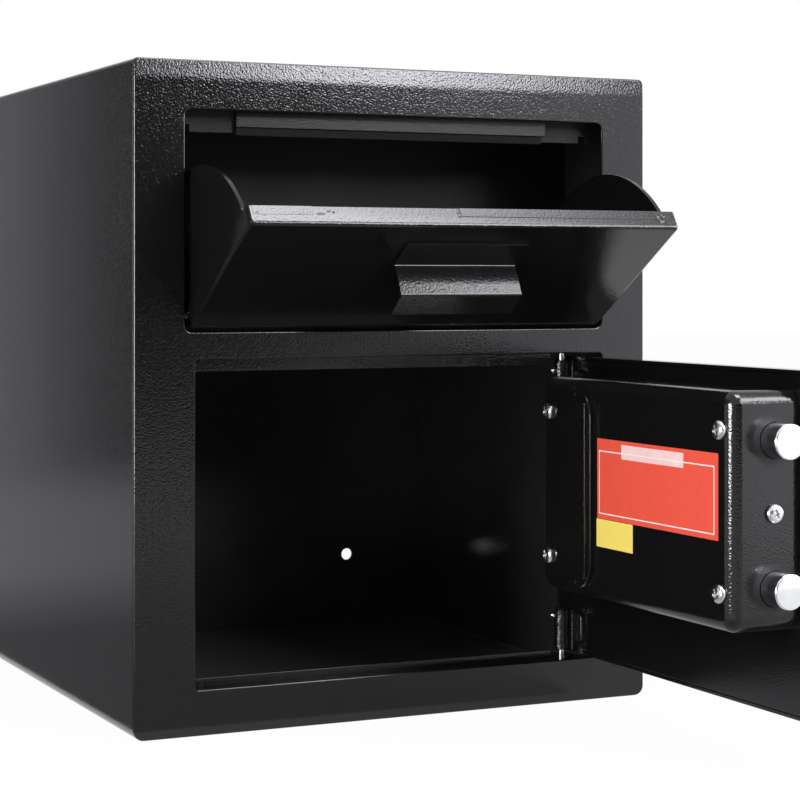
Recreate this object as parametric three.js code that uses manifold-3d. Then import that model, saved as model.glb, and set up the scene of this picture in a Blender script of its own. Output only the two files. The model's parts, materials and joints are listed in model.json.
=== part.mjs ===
// Drop safe with a tip-out deposit drawer over a hinged door, bolted by a turning knob and a keypad lock.
// Millimetres, +Z up. The origin is the middle of the base, on the floor; the front faces -Y.
// The safe stands with its drawer tipped out, its door swung open square and its bolts thrown.
import * as THREE from "three";
import { mergeVertices } from "three/addons/utils/BufferGeometryUtils.js";
import Module from "manifold-3d";

const wasm = await Module();
wasm.setup();

// Fits and fineness used all over
const SEAT_GAP = 0.3; // paint and play between pieces that are welded, screwed or laid together
const OVERRUN = 1; // how far a cutting solid runs past what it cuts
const MERGE_TOLERANCE = 1e-4; // vertices closer than this are one
const BEND_STEPS = 4; // straight steps in a quarter bend
const EDGE_STEPS = 3; // straight steps in a rounded edge
const ROUND_SIDES = 28; // of a visible round piece
const PIN_SIDES = 16; // of a pin, a screw or a small hole

// Cabinet: a folded wrap, with a front plate and a back plate welded to its ends
const CABINET_WIDTH = 390;
const CABINET_DEPTH = 380;
const CABINET_HEIGHT = 450;
const SHELL_SHEET = 2.5;
const FRONT_SHEET = 3;
const BACK_SHEET = 2.5;
const SHELL_TOP_BEND = 3.5;
const SHELL_BOTTOM_BEND = 7;
const ANCHOR_HOLE_DIAMETER = 10;
const ANCHOR_HOLE_INSET = 70; // from each side of the cabinet
const ANCHOR_HOLE_HEIGHT = 64; // of the holes in the back, over the floor
const LEFT = -CABINET_WIDTH / 2;
const RIGHT = CABINET_WIDTH / 2;
const FRONT = -CABINET_DEPTH / 2;
const BACK = CABINET_DEPTH / 2;
const TOP = CABINET_HEIGHT;
const PLATE_BACK = FRONT + FRONT_SHEET + SEAT_GAP; // where pieces seat behind the front plate

// Deposit opening, high in the front plate
const DEPOSIT_SIDE_MARGIN = 35.5;
const DEPOSIT_TOP_MARGIN = 33;
const DEPOSIT_HEIGHT = 148.2;
const DEPOSIT_CORNER = 5;
const depositOpening = {
  x: [LEFT + DEPOSIT_SIDE_MARGIN, RIGHT - DEPOSIT_SIDE_MARGIN],
  z: [TOP - DEPOSIT_TOP_MARGIN - DEPOSIT_HEIGHT, TOP - DEPOSIT_TOP_MARGIN],
};

// Door opening, with its edges turned in above, below and on the left
const CROSS_BAR = 18.3; // of plate between the two openings
const DOOR_OPENING_LEFT_MARGIN = 43;
const DOOR_OPENING_RIGHT_MARGIN = 35.2;
const DOOR_OPENING_BOTTOM_MARGIN = 30.6;
const DOOR_OPENING_CORNER = 2.5;
const RETURN_DEPTH = 15; // of the turned-in edges, from the front face
const RETURN_SHEET = 2.5;
const doorOpening = {
  x: [LEFT + DOOR_OPENING_LEFT_MARGIN, RIGHT - DOOR_OPENING_RIGHT_MARGIN],
  z: [DOOR_OPENING_BOTTOM_MARGIN, depositOpening.z[0] - CROSS_BAR],
};

// Hinge axis, placed so that the open door's outer face just clears the opening's right edge
const HINGE_SETBACK = 21; // behind the front face
const DOOR_OPEN_GAP = 0.8;
const DOOR_OPEN_ANGLE = Math.PI / 2;
const hinge = {
  x: doorOpening.x[1] - DOOR_OPEN_GAP - HINGE_SETBACK,
  y: FRONT + HINGE_SETBACK,
};

// Door stop: a three-sided strip behind the turned-in edges, which the shut door rests on
const STOP_SHEET = 2;
const STOP_WELD_HEIGHT = 2; // of strip behind a turned-in edge
const STOP_BOTTOM_SHOW = 4.8;
const STOP_TOP_SHOW = 8.7;
const STOP_STRIKE_SHOW = 2.5;
const STOP_HINGE_MARGIN = 12; // from the strip's ends to the hinge axis

// Hinges: lugs and pins on the cabinet, barrels with a leaf on the door
const HINGE_PIN_DIAMETER = 5;
const HINGE_PIN_PLAY = 0.3;
const HINGE_PIN_PROUD = 1.5; // past its lug
const HINGE_LUG_SHEET = 3;
const HINGE_LUG_HALF_WIDTH = 11;
const HINGE_LUG_REAR = 10; // behind the hinge axis
const HINGE_BARREL_DIAMETER = 10.5;
const TOP_BARREL_LENGTH = 16;
const TOP_BARREL_DROP = 5.5; // below the door opening's top edge
const BOTTOM_BARREL_LENGTH = 29;
const BOTTOM_BARREL_RISE = 3.9; // above the door opening's bottom edge
const HINGE_LEAF_SHEET = 2.4;
const HINGE_LEAF_LEFT = 9; // of leaf on each side of the hinge axis
const HINGE_LEAF_RIGHT = 16;

// Mat on the cabinet floor
const MAT_THICKNESS = 3.5;
const MAT_MARGIN = 4;
const MAT_SETBACK = 24; // behind the front face

// Stop bracket and rubber bumper above the drawer
const DRAWER_STOP_SETBACK = 18;
const DRAWER_STOP_SHEET = 2;
const DRAWER_STOP_DROP = 14; // of its lower edge, below the deposit opening's top edge
const DRAWER_STOP_FLANGE = 12;
const DRAWER_STOP_NOTCH_HEIGHT = 5; // over each drawer cheek
const DRAWER_STOP_NOTCH_PLAY = 1.5;
const BUMPER_HEIGHT = 5.5;
const BUMPER_PLAY = 0.6; // between it and the shut drawer
const BUMPER_END_MARGIN = 41.5; // from each side of the deposit opening
const BUMPER_DROP = 15.8; // of its lower edge, below the deposit opening's top edge

// Drawer front: a folded pan with a liner plate, tipping about pins at its lower edge
const DRAWER_SIDE_GAP = 2.8;
const DRAWER_TOP_GAP = 1.4;
const DRAWER_THICKNESS = 14;
const DRAWER_FACE_SHEET = 2;
const DRAWER_RIM_SHEET = 2;
const DRAWER_BEND = 2.5;
const DRAWER_PIVOT_RISE = 10.2; // of the pivot, over the deposit opening's bottom edge
const DRAWER_PIVOT_TO_EDGE = 4.5; // from the pivot down to the drawer front's lower edge
const DRAWER_NOTCH_WIDTH = 12; // of rim, cut away round each pivot
const DRAWER_NOTCH_RISE = 12;
const DRAWER_OPEN_ANGLE = (58.5 * Math.PI) / 180;
const LINER_SHEET = 1.5;
const pivot = { y: FRONT + DRAWER_THICKNESS, z: depositOpening.z[0] + DRAWER_PIVOT_RISE };

// In the drawer's own frame, y and z are measured from the pivot with the drawer shut
const drawer = {
  x: grown(depositOpening.x, -DRAWER_SIDE_GAP),
  y: [-DRAWER_THICKNESS, 0],
  z: [-DRAWER_PIVOT_TO_EDGE, depositOpening.z[1] - DRAWER_TOP_GAP - pivot.z],
};

// Drawer cheeks: side plates with a round edge
const CHEEK_SHEET = 3;
const CHEEK_INSET = 1.7; // from the drawer front's ends
const CHEEK_CENTRE_FORWARD = 21.6; // of the round edge, in front of the pivot
const CHEEK_CENTRE_RISE = 21.9;
const CHEEK_TOP_DROP = 7.7; // of the round edge, below the drawer's upper edge
const CHEEK_LOBE_RADIUS = 7; // round the pivot
const CHEEK_ARC_STEPS = 20;
const cheekRadius = drawer.z[1] - CHEEK_TOP_DROP - CHEEK_CENTRE_RISE;
const cheekOuter = drawer.x[1] - CHEEK_INSET;
const cheekInner = cheekOuter - CHEEK_SHEET;

// Scoop: the drawer's floor, nearly level when the drawer is out and steep when it is shut
const SCOOP_SHEET = 2;
const SCOOP_START_BACK = 3; // behind the pivot
const SCOOP_START_RISE = 7.5;
const SCOOP_SLOPE = (37 * Math.PI) / 180;
const SCOOP_CHEEK_MARGIN = 5; // of cheek left under the scoop
const SCOOP_END_MARGIN = 2; // from its far end to the cheeks' round edge

// Baffle: a plate hung behind the drawer, against reaching in
const BAFFLE_SHEET = 2;
const BAFFLE_CLEARANCE = 12; // behind the drawer's round edge
const BAFFLE_BOTTOM_RISE = 11; // over the drawer pivot
const BAFFLE_FLANGE = 15;

// Drawer pull: one strip of sheet, bent twice
const PULL_WIDTH = 89;
const PULL_OFFSET = 4; // right of the middle
const PULL_TOP_DROP = 19.7; // of its upper edge, below the drawer's upper edge
const PULL_FLANGE_HEIGHT = 27;
const PULL_REACH = 25;
const PULL_LIP_HEIGHT = 20;
const PULL_LIP_LEAN = 2; // how far the lip's edge leans out
const PULL_SHEET = 1.8;

// Drawer pivots: headed pins through the cheeks, in brackets behind the front plate
const PIVOT_PIN_DIAMETER = 6;
const PIVOT_PIN_PROUD = 1.5; // past its bracket
const PIVOT_HEAD_DIAMETER = 11;
const PIVOT_HEAD_THICKNESS = 2.5;
const PIVOT_PLAY = 0.4;
const BRACKET_SHEET = 3;
const BRACKET_FOOT = 15; // of foot, along the front plate
const BRACKET_REAR = 11; // behind the pivot
const BRACKET_HEIGHT = 27;
const BRACKET_SIDE_GAP = 0.3; // from its face to the deposit opening's side

// Door: a folded pan with an inner plate
const DOOR_LEFT_GAP = 2;
const DOOR_HINGE_GAP = 2.2;
const DOOR_BOTTOM_GAP = 1.9;
const DOOR_TOP_GAP = 2.5;
const DOOR_THICKNESS = 14;
const DOOR_FACE_SHEET = 3;
const DOOR_RIM_SHEET = 2.5;
const DOOR_BEND = 3;
const DOOR_INNER_SHEET = 1.5;

// In the door's own frame, x and y are measured from the hinge axis with the door shut
const door = {
  x: [doorOpening.x[0] + DOOR_LEFT_GAP - hinge.x, doorOpening.x[1] - DOOR_HINGE_GAP - hinge.x],
  y: [-HINGE_SETBACK, DOOR_THICKNESS - HINGE_SETBACK],
  z: [doorOpening.z[0] + DOOR_BOTTOM_GAP, doorOpening.z[1] - DOOR_TOP_GAP],
};

// Lock cover: a pressed box screwed to the inside of the door
const COVER_FREE_MARGIN = 5; // from the door's free edge
const COVER_HINGE_MARGIN = 65.6;
const COVER_TOP_MARGIN = 12;
const COVER_HEIGHT = 148;
const COVER_DEPTH = 49;
const COVER_SHEET = 1.5;
const COVER_CORNER = 8;
const COVER_EDGE = 7;
const COVER_SCREW_INSET_X = 12;
const COVER_SCREW_INSET_Z = 24;
const END_SCREW_SETBACK = 18; // behind the door's inner face
const END_SCREW_DROP = 1.4; // below the cover's middle
const cover = {
  x: [door.x[0] + COVER_FREE_MARGIN, door.x[1] - COVER_HINGE_MARGIN],
  y: [door.y[1] + SEAT_GAP, door.y[1] + COVER_DEPTH],
  z: [door.z[1] - COVER_TOP_MARGIN - COVER_HEIGHT, door.z[1] - COVER_TOP_MARGIN],
};

// Pan-head screws with a cross recess
const SCREW_HEAD_DIAMETER = 12;
const SCREW_HEAD_HEIGHT = 3.4;
const SCREW_SHANK_DIAMETER = 4;
const SCREW_SHANK_LENGTH = 10;
const SCREW_HOLE_PLAY = 0.3;
const SCREW_RECESS_LENGTH = 6.4;
const SCREW_RECESS_WIDTH = 1.5;
const SCREW_RECESS_DEPTH = 1.6;
const SCREW_RIM_SHARE = 0.45; // of the head's height, where its dome starts
const SCREW_CROWN_SHARE = 0.6; // of the head's radius, where its dome ends

// Battery cover over the window in the lock cover, and the holder for four cells
const BATTERY_COVER_HINGE_INSET = 32; // from the lock cover's hinge-side edge
const BATTERY_COVER_WIDTH = 41;
const BATTERY_COVER_MARGIN = 6; // from the lock cover's upper and lower edges
const BATTERY_COVER_PROUD = 6;
const BATTERY_COVER_SHEET = 1.5;
const BATTERY_COVER_CORNER = 19;
const BATTERY_COVER_EDGE = 2;
const HOLDER_WALL = 1.4;
const HOLDER_WIDTH = 34.6; // two cells side by side
const HOLDER_HEIGHT = 108; // two cells end to end
const HOLDER_DEPTH = 17;
const HOLDER_RIB = 1.6; // between the cells
const HOLDER_WINDOW_PLAY = 0.4;

// Bolts with the bar that joins them
const BOLT_DIAMETER = 22.2;
const BOLT_LENGTH = 52;
const BOLT_EDGE = 1.2;
const BOLT_THROW = 16.4;
const BOLT_SETBACK = 17; // of the bolts' axes, behind the door's inner face
const BOLT_SPACING = 91;
const BOLTS_BELOW_MIDDLE = 2; // of the lock cover
const BOLT_HOLE_PLAY = 0.5;
const BAR_SHEET = 3;
const BAR_STRIP_WIDTH = 12;
const BAR_TAB_WIDTH = 20;
const BAR_ARM_RISE = 23; // of the arm's upper edge, over the knob's axis
const BAR_ARM_DROP = 14; // of the arm's lower edge, below the knob's axis
const BAR_ARM_REACH = 3; // of the arm's end, past the knob's axis
const boltsMiddle = middle(cover.z) - BOLTS_BELOW_MIDDLE;
const boltY = door.y[1] + BOLT_SETBACK;
const boltTip = cover.x[0] - BOLT_THROW;
const boltEnd = boltTip + BOLT_LENGTH;
const barY = [boltY - BAR_SHEET, boltY];

// Turning knob, with its spindle, and the cam whose pin drives the bolt bar
const KNOB_FREE_MARGIN = 73; // of its axis, from the door's free edge
const KNOB_DIAMETER = 46;
const KNOB_BASE_HEIGHT = 9;
const KNOB_HEIGHT = 27;
const KNOB_GRIP_WIDTH = 13;
const KNOB_EDGE = 2;
const KNOB_FRONT_WALL = 6; // of material in front of the spindle
const SPINDLE_DIAMETER = 8;
const SPINDLE_PLAY = 0.4;
const CAM_THICKNESS = 5;
const CAM_HUB_RADIUS = 9;
const CAM_TIP_RADIUS = 5;
const CAM_BAR_GAP = 2;
const CAM_STEPS = 8; // straight steps round each end
const CAM_PIN_DIAMETER = 6;
const CAM_PIN_PLAY = 0.8; // in the bar's slot
const CAM_PIN_PROUD = 1; // past the bar
const KNOB_TURN = Math.PI / 2;
const camAngle = Math.PI / 2 + KNOB_TURN / 2; // of the pin at rest, from +X towards +Z
const camRadius = BOLT_THROW / 2 / Math.sin(KNOB_TURN / 2);
const knob = { x: door.x[0] + KNOB_FREE_MARGIN, z: boltsMiddle };

// Solenoid, whose plunger stands in the bolt bar's second slot
const SOLENOID_SIDE = 20;
const SOLENOID_OFFSET = 6; // left of the knob's axis, and below it
const SOLENOID_LENGTH = 25;
const SOLENOID_BORE_END = 1.5;
const PLUNGER_DIAMETER = 6;
const PLUNGER_PLAY = 0.4;
const PLUNGER_LENGTH = 26;
const PLUNGER_REACH = 2.5; // of its tip, into the bar's slot
const PLUNGER_SLOT_PLAY = 0.6;

// Keypad housing on the outside of the door, with its keys, circuit board and light
const KEYPAD_WIDTH = 90;
const KEYPAD_HEIGHT = 148;
const KEYPAD_DEPTH = 16;
const KEYPAD_HINGE_MARGIN = 52; // from the door's hinge edge
const KEYPAD_EDGE = 3;
const KEYPAD_WALL = 2.5;
const KEYPAD_FACE = 4;
const KEY_COLUMNS = 3;
const KEY_ROWS = 4;
const KEY_PITCH_X = 22;
const KEY_PITCH_Z = 19.5;
const KEY_WIDTH = 15.4;
const KEY_HEIGHT = 12.4;
const KEY_PROUD = 2;
const KEY_PLAY = 0.3;
const KEY_FLANGE = 1.2; // of flange round its foot, as thick as it is wide
const KEY_EDGE = 0.7;
const KEY_TOP_MARGIN = 34; // of the upper row's middle, from the housing's upper edge
const BOARD_SHEET = 1.6;
const BOARD_SETBACK = 2.6; // in front of the housing's back
const BOARD_LOCK_MARGIN = 14; // of its lower edge, over the key lock's axis
const LIGHT_DIAMETER = 5;
const LIGHT_LENGTH = 7;
const LIGHT_PROUD = 1;
const LIGHT_TOP_MARGIN = 14;
const keypad = {
  x: [door.x[1] - KEYPAD_HINGE_MARGIN - KEYPAD_WIDTH, door.x[1] - KEYPAD_HINGE_MARGIN],
  y: [door.y[0] - SEAT_GAP - KEYPAD_DEPTH, door.y[0] - SEAT_GAP],
  z: about(middle(cover.z), KEYPAD_HEIGHT),
};

// Emergency key lock: a barrel through the housing and the door, and the plug that turns in it
const LOCK_DIAMETER = 18;
const LOCK_RISE = 34; // of its axis, over the housing's lower edge
const LOCK_PROUD = 1.5;
const LOCK_REACH = 8; // past the door's inner face
const LOCK_PLAY = 0.3;
const PLUG_DIAMETER = 12;
const PLUG_SINK = 0.5; // of its face, in the barrel
const TAIL_LENGTH = 14;
const TAIL_WIDTH = 8;
const TAIL_SHEET = 2;
const KEYWAY_LENGTH = 8;
const KEYWAY_WIDTH = 1.8;
const KEYWAY_DEPTH = 6;
const lock = { x: middle(keypad.x), z: keypad.z[0] + LOCK_RISE };

// Two plain labels on the lock cover
const LABEL_SHEET = 0.3;
const LABEL_GAP = 0.05;
const RED_LABEL_MARGIN = 14; // from the lock cover's free edge
const RED_LABEL_TOP_DROP = 38.5; // from the lock cover's upper edge
const RED_LABEL_WIDTH = 145;
const RED_LABEL_HEIGHT = 53.5;
const YELLOW_LABEL_WIDTH = 46;
const YELLOW_LABEL_HEIGHT = 18.7;
const YELLOW_LABEL_PAST = 1; // of its right edge, past the red label's

// Ranges: each is a pair, the lower value first
function middle([low, high]) {
  return (low + high) / 2;
}

function span([low, high]) {
  return high - low;
}

function grown([low, high], by) {
  return [low - by, high + by];
}

function about(centre, width) {
  return [centre - width / 2, centre + width / 2];
}

// A closed geometry as a solid that can be joined and cut.
function solid(geometry) {
  const loose = geometry.index ? geometry.toNonIndexed() : geometry;
  const bare = new THREE.BufferGeometry();
  bare.setAttribute("position", loose.getAttribute("position"));
  const merged = mergeVertices(bare, MERGE_TOLERANCE);
  const corners = [];
  const all = merged.index.array;
  for (let i = 0; i < all.length; i += 3) {
    const [a, b, c] = all.slice(i, i + 3);
    if (a !== b && b !== c && c !== a) corners.push(a, b, c);
  }
  return new wasm.Manifold(
    new wasm.Mesh({
      numProp: 3,
      vertProperties: new Float32Array(merged.attributes.position.array),
      triVerts: new Uint32Array(corners),
    }),
  );
}

function joined(...bodies) {
  return bodies.reduce((whole, body) => whole.add(body));
}

function cutBy(body, ...cutters) {
  return cutters.reduce((whole, cutter) => whole.subtract(cutter), body);
}

// A solid as a named mesh in its material.
function mesh(name, material, body) {
  const made = body.getMesh();
  const positions = new Float32Array(made.numVert * 3);
  for (let i = 0; i < made.numVert; i++) {
    const at = i * made.numProp;
    positions.set(made.vertProperties.subarray(at, at + 3), i * 3);
  }
  const geometry = new THREE.BufferGeometry();
  geometry.setAttribute("position", new THREE.BufferAttribute(positions, 3));
  geometry.setIndex(new THREE.BufferAttribute(made.triVerts, 1));
  geometry.computeVertexNormals();
  const piece = new THREE.Mesh(geometry, material);
  piece.name = name;
  return piece;
}

// A box between two planes each way.
function block(x, y, z) {
  const geometry = new THREE.BoxGeometry(span(x), span(y), span(z));
  return solid(geometry.translate(middle(x), middle(y), middle(z)));
}

// How a solid made along its own third axis is turned onto a named one:
// an outline is drawn in (y, z) for a prism along x, in (x, z) along y, and in (x, y) along z.
const alongX = new THREE.Vector3(1, 0, 0);
const alongY = new THREE.Vector3(0, 1, 0);
const alongZ = new THREE.Vector3(0, 0, 1);
const turn = {
  x: new THREE.Matrix4().makeBasis(alongY, alongZ, alongX),
  y: new THREE.Matrix4().makeBasis(alongX, alongZ, alongY.clone().negate()),
  z: new THREE.Matrix4(),
};

// An outline drawn out along an axis between two places, with both ends' edges rounded if asked.
function prism(outline, axis, [from, to], edge = 0, steps = BEND_STEPS) {
  const geometry = new THREE.ExtrudeGeometry(outline, {
    depth: to - from - 2 * edge,
    curveSegments: steps,
    bevelEnabled: edge > 0,
    bevelSize: edge,
    bevelOffset: -edge,
    bevelThickness: edge,
    bevelSegments: EDGE_STEPS,
  });
  const start = axis === "y" ? edge - to : edge + from;
  geometry.translate(0, 0, start);
  return solid(geometry.applyMatrix4(turn[axis]));
}

// A plain round bar along an axis, at (y, z), (x, z) or (x, y).
function rod(diameter, axis, range, u, v, sides = PIN_SIDES) {
  const outline = new THREE.Shape();
  for (let i = 0; i < sides; i++) {
    const angle = (2 * Math.PI * i) / sides;
    const at = [u + (diameter / 2) * Math.cos(angle), v + (diameter / 2) * Math.sin(angle)];
    if (i) outline.lineTo(...at);
    else outline.moveTo(...at);
  }
  outline.closePath();
  return prism(outline, axis, range);
}

// A turned piece: its outline is a list of (radius, place along the axis), both ends on the axis.
function turned(points, axis, u, v, sides = ROUND_SIDES) {
  const outline = points.map(([radius, at]) => new THREE.Vector2(radius, axis === "y" ? -at : at));
  if (outline[0].y > outline.at(-1).y) outline.reverse();
  const geometry = new THREE.LatheGeometry(outline, sides);
  geometry.rotateX(Math.PI / 2);
  geometry.translate(u, v, 0);
  return solid(geometry.applyMatrix4(turn[axis]));
}

function rectangle(u, v) {
  const outline = new THREE.Shape();
  outline.moveTo(u[0], v[0]);
  outline.lineTo(u[1], v[0]);
  outline.lineTo(u[1], v[1]);
  outline.lineTo(u[0], v[1]);
  outline.closePath();
  return outline;
}

// A rectangle with rounded corners, the lower two and the upper two alike.
function rounded(u, v, low, high = low, outline = new THREE.Shape()) {
  const quarter = Math.PI / 2;
  outline.absarc(u[1] - low, v[0] + low, low, -quarter, 0);
  outline.absarc(u[1] - high, v[1] - high, high, 0, quarter);
  outline.absarc(u[0] + high, v[1] - high, high, quarter, 2 * quarter);
  outline.absarc(u[0] + low, v[0] + low, low, 2 * quarter, 3 * quarter);
  outline.closePath();
  return outline;
}

function polygon(points) {
  const outline = new THREE.Shape();
  points.forEach((point, i) => (i ? outline.lineTo(...point) : outline.moveTo(...point)));
  outline.closePath();
  return outline;
}

// A pan, open towards +Y: a sheet with its edges folded back all round and its front edges rounded.
function pan(x, y, z, face, rim, bend) {
  const body = prism(rounded(x, z, bend + SEAT_GAP), "y", [y[0], y[1] + bend + OVERRUN], bend);
  const behind = block(grown(x, OVERRUN), [y[1], y[1] + bend + 2 * OVERRUN], grown(z, OVERRUN));
  const inside = block(grown(x, -rim), [y[0] + face, y[1] + OVERRUN], grown(z, -rim));
  return cutBy(body, behind, inside);
}

// A pressed cover, open towards -Y, with its far edges and its corners rounded.
function pressedCover(x, y, z, sheet, corner, edge) {
  const dome = (inset) =>
    cutBy(
      prism(
        rounded(grown(x, -inset), grown(z, -inset), corner - inset),
        "y",
        [y[0] - edge - OVERRUN, y[1] - inset],
        edge - inset,
      ),
      block(grown(x, OVERRUN), [y[0] - edge - 2 * OVERRUN, y[0] - (inset ? OVERRUN : 0)], grown(z, OVERRUN)),
    );
  return cutBy(dome(0), dome(sheet));
}

const finish = (color, roughness, metalness) => new THREE.MeshStandardMaterial({ color, roughness, metalness });
const texturedPaint = finish(0x1b1b1d, 0.55, 0.1);
const smoothPaint = finish(0x121213, 0.25, 0.1);
const zincPlate = finish(0xb9bcc0, 0.3, 1);
const chromePlate = finish(0xe4e6e8, 0.12, 1);
const darkSteel = finish(0x55565a, 0.45, 0.9);
const rubber = finish(0x151515, 0.9, 0);
const blackPlastic = finish(0x1c1c1e, 0.45, 0);
const greyPlastic = finish(0x8b8d90, 0.5, 0);
const boardGreen = finish(0x1f5a36, 0.5, 0);
const lightGreen = finish(0x3fbf5a, 0.2, 0);
const redPaper = finish(0xe9523c, 0.5, 0);
const yellowPaper = finish(0xf0d86a, 0.5, 0);

function anchorHoles(axis, range, v) {
  return [LEFT + ANCHOR_HOLE_INSET, RIGHT - ANCHOR_HOLE_INSET].map((x) =>
    rod(ANCHOR_HOLE_DIAMETER, axis, range, x, v),
  );
}

function bodyShell() {
  const along = [FRONT + FRONT_SHEET, BACK - BACK_SHEET];
  const outside = prism(rounded([LEFT, RIGHT], [0, TOP], SHELL_BOTTOM_BEND, SHELL_TOP_BEND), "y", along);
  const inside = prism(
    rounded(
      grown([LEFT, RIGHT], -SHELL_SHEET),
      grown([0, TOP], -SHELL_SHEET),
      SHELL_BOTTOM_BEND - SHELL_SHEET,
      SHELL_TOP_BEND - SHELL_SHEET,
    ),
    "y",
    grown(along, OVERRUN),
  );
  return mesh("body_shell", texturedPaint, cutBy(outside, inside));
}

function backPlate() {
  const along = [BACK - BACK_SHEET, BACK];
  const plate = prism(rounded([LEFT, RIGHT], [0, TOP], SHELL_BOTTOM_BEND, SHELL_TOP_BEND), "y", along);
  return mesh(
    "back_plate",
    texturedPaint,
    cutBy(plate, ...anchorHoles("y", grown(along, OVERRUN), ANCHOR_HOLE_HEIGHT)),
  );
}

function frontFrame() {
  const outline = rounded([LEFT, RIGHT], [0, TOP], SHELL_BOTTOM_BEND, SHELL_TOP_BEND);
  outline.holes.push(
    rounded(depositOpening.x, depositOpening.z, DEPOSIT_CORNER, DEPOSIT_CORNER, new THREE.Path()),
    rounded(doorOpening.x, doorOpening.z, DOOR_OPENING_CORNER, DOOR_OPENING_CORNER, new THREE.Path()),
  );
  const plate = prism(outline, "y", [FRONT, FRONT + FRONT_SHEET]);
  const [left, right] = doorOpening.x;
  const [low, high] = doorOpening.z;
  const deep = [FRONT + FRONT_SHEET / 2, FRONT + RETURN_DEPTH];
  const across = [left - RETURN_SHEET, right];
  return mesh(
    "front_frame",
    texturedPaint,
    joined(
      plate,
      block(across, deep, [low - RETURN_SHEET, low]),
      block(across, deep, [high, high + RETURN_SHEET]),
      block([left - RETURN_SHEET, left], deep, [low - RETURN_SHEET, high + RETURN_SHEET]),
    ),
  );
}

function doorStop() {
  const front = FRONT + RETURN_DEPTH + SEAT_GAP;
  const y = [front, front + STOP_SHEET];
  const left = doorOpening.x[0];
  const [low, high] = doorOpening.z;
  const across = [left - STOP_WELD_HEIGHT, hinge.x - STOP_HINGE_MARGIN];
  return mesh(
    "door_stop",
    texturedPaint,
    joined(
      block(across, y, [low - STOP_WELD_HEIGHT, low + STOP_BOTTOM_SHOW]),
      block(across, y, [high - STOP_TOP_SHOW, high + STOP_WELD_HEIGHT]),
      block([across[0], left + STOP_STRIKE_SHOW], y, [low, high]),
    ),
  );
}

// The lugs stand off the opening's upper and lower edges, and each pin runs from its lug into its barrel.
const topBarrelZ = [doorOpening.z[1] - TOP_BARREL_DROP - TOP_BARREL_LENGTH, doorOpening.z[1] - TOP_BARREL_DROP];
const bottomBarrelZ = [
  doorOpening.z[0] + BOTTOM_BARREL_RISE,
  doorOpening.z[0] + BOTTOM_BARREL_RISE + BOTTOM_BARREL_LENGTH,
];
const topLugZ = [doorOpening.z[1] + SEAT_GAP, doorOpening.z[1] + SEAT_GAP + HINGE_LUG_SHEET];
const bottomLugZ = [doorOpening.z[0] - SEAT_GAP - HINGE_LUG_SHEET, doorOpening.z[0] - SEAT_GAP];

function hingeLug(name, z) {
  const plate = block(
    grown([hinge.x, hinge.x], HINGE_LUG_HALF_WIDTH),
    [FRONT + RETURN_DEPTH + SEAT_GAP, hinge.y + HINGE_LUG_REAR],
    z,
  );
  const hole = rod(HINGE_PIN_DIAMETER + 2 * HINGE_PIN_PLAY, "z", grown(z, OVERRUN), hinge.x, hinge.y);
  return mesh(name, texturedPaint, cutBy(plate, hole));
}

function hingePin(name, z) {
  return mesh(name, zincPlate, rod(HINGE_PIN_DIAMETER, "z", z, hinge.x, hinge.y));
}

function floorMat() {
  const low = SHELL_SHEET + SEAT_GAP;
  const x = grown([LEFT, RIGHT], -SHELL_SHEET - MAT_MARGIN);
  return mesh(
    "floor_mat",
    rubber,
    block(x, [FRONT + MAT_SETBACK, BACK - BACK_SHEET - MAT_MARGIN], [low, low + MAT_THICKNESS]),
  );
}

// An angle under the ceiling; its web hangs behind the opening and is notched over the drawer's cheeks.
function drawerStop() {
  const x = grown([LEFT, RIGHT], -SHELL_SHEET - SEAT_GAP);
  const y = [FRONT + DRAWER_STOP_SETBACK, FRONT + DRAWER_STOP_SETBACK + DRAWER_STOP_SHEET];
  const z = [depositOpening.z[1] - DRAWER_STOP_DROP, TOP - SHELL_SHEET - SEAT_GAP];
  const web = block(x, y, z);
  const flange = block(x, [y[0] - DRAWER_STOP_FLANGE, y[1]], [z[1] - DRAWER_STOP_SHEET, z[1]]);
  const notches = [-1, 1].map((side) => {
    const ends = [side * cheekInner, side * cheekOuter].sort((a, b) => a - b);
    return block(
      grown(ends, DRAWER_STOP_NOTCH_PLAY),
      grown(y, OVERRUN),
      [z[0] - OVERRUN, z[0] + DRAWER_STOP_NOTCH_HEIGHT],
    );
  });
  return mesh("drawer_stop", texturedPaint, cutBy(joined(web, flange), ...notches));
}

function drawerBumper() {
  const low = depositOpening.z[1] - BUMPER_DROP;
  return mesh(
    "drawer_bumper",
    rubber,
    block(
      grown(depositOpening.x, -BUMPER_END_MARGIN),
      [pivot.y + BUMPER_PLAY, FRONT + DRAWER_STOP_SETBACK - SEAT_GAP],
      [low, low + BUMPER_HEIGHT],
    ),
  );
}

function bracketFaces(side) {
  const inner = side * (depositOpening.x[1] + BRACKET_SIDE_GAP);
  return { inner, outer: inner + side * BRACKET_SHEET };
}

function ordered(a, b) {
  return a < b ? [a, b] : [b, a];
}

function pivotBracket(name, side) {
  const { inner, outer } = bracketFaces(side);
  const z = about(pivot.z, BRACKET_HEIGHT);
  const wall = block(ordered(inner, outer), [PLATE_BACK, pivot.y + BRACKET_REAR], z);
  const foot = block(ordered(inner, inner + side * BRACKET_FOOT), [PLATE_BACK, PLATE_BACK + BRACKET_SHEET], z);
  const hole = rod(
    PIVOT_PIN_DIAMETER + 2 * PIVOT_PLAY,
    "x",
    grown(ordered(inner, outer), OVERRUN),
    pivot.y,
    pivot.z,
  );
  return mesh(name, texturedPaint, cutBy(joined(wall, foot), hole));
}

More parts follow.
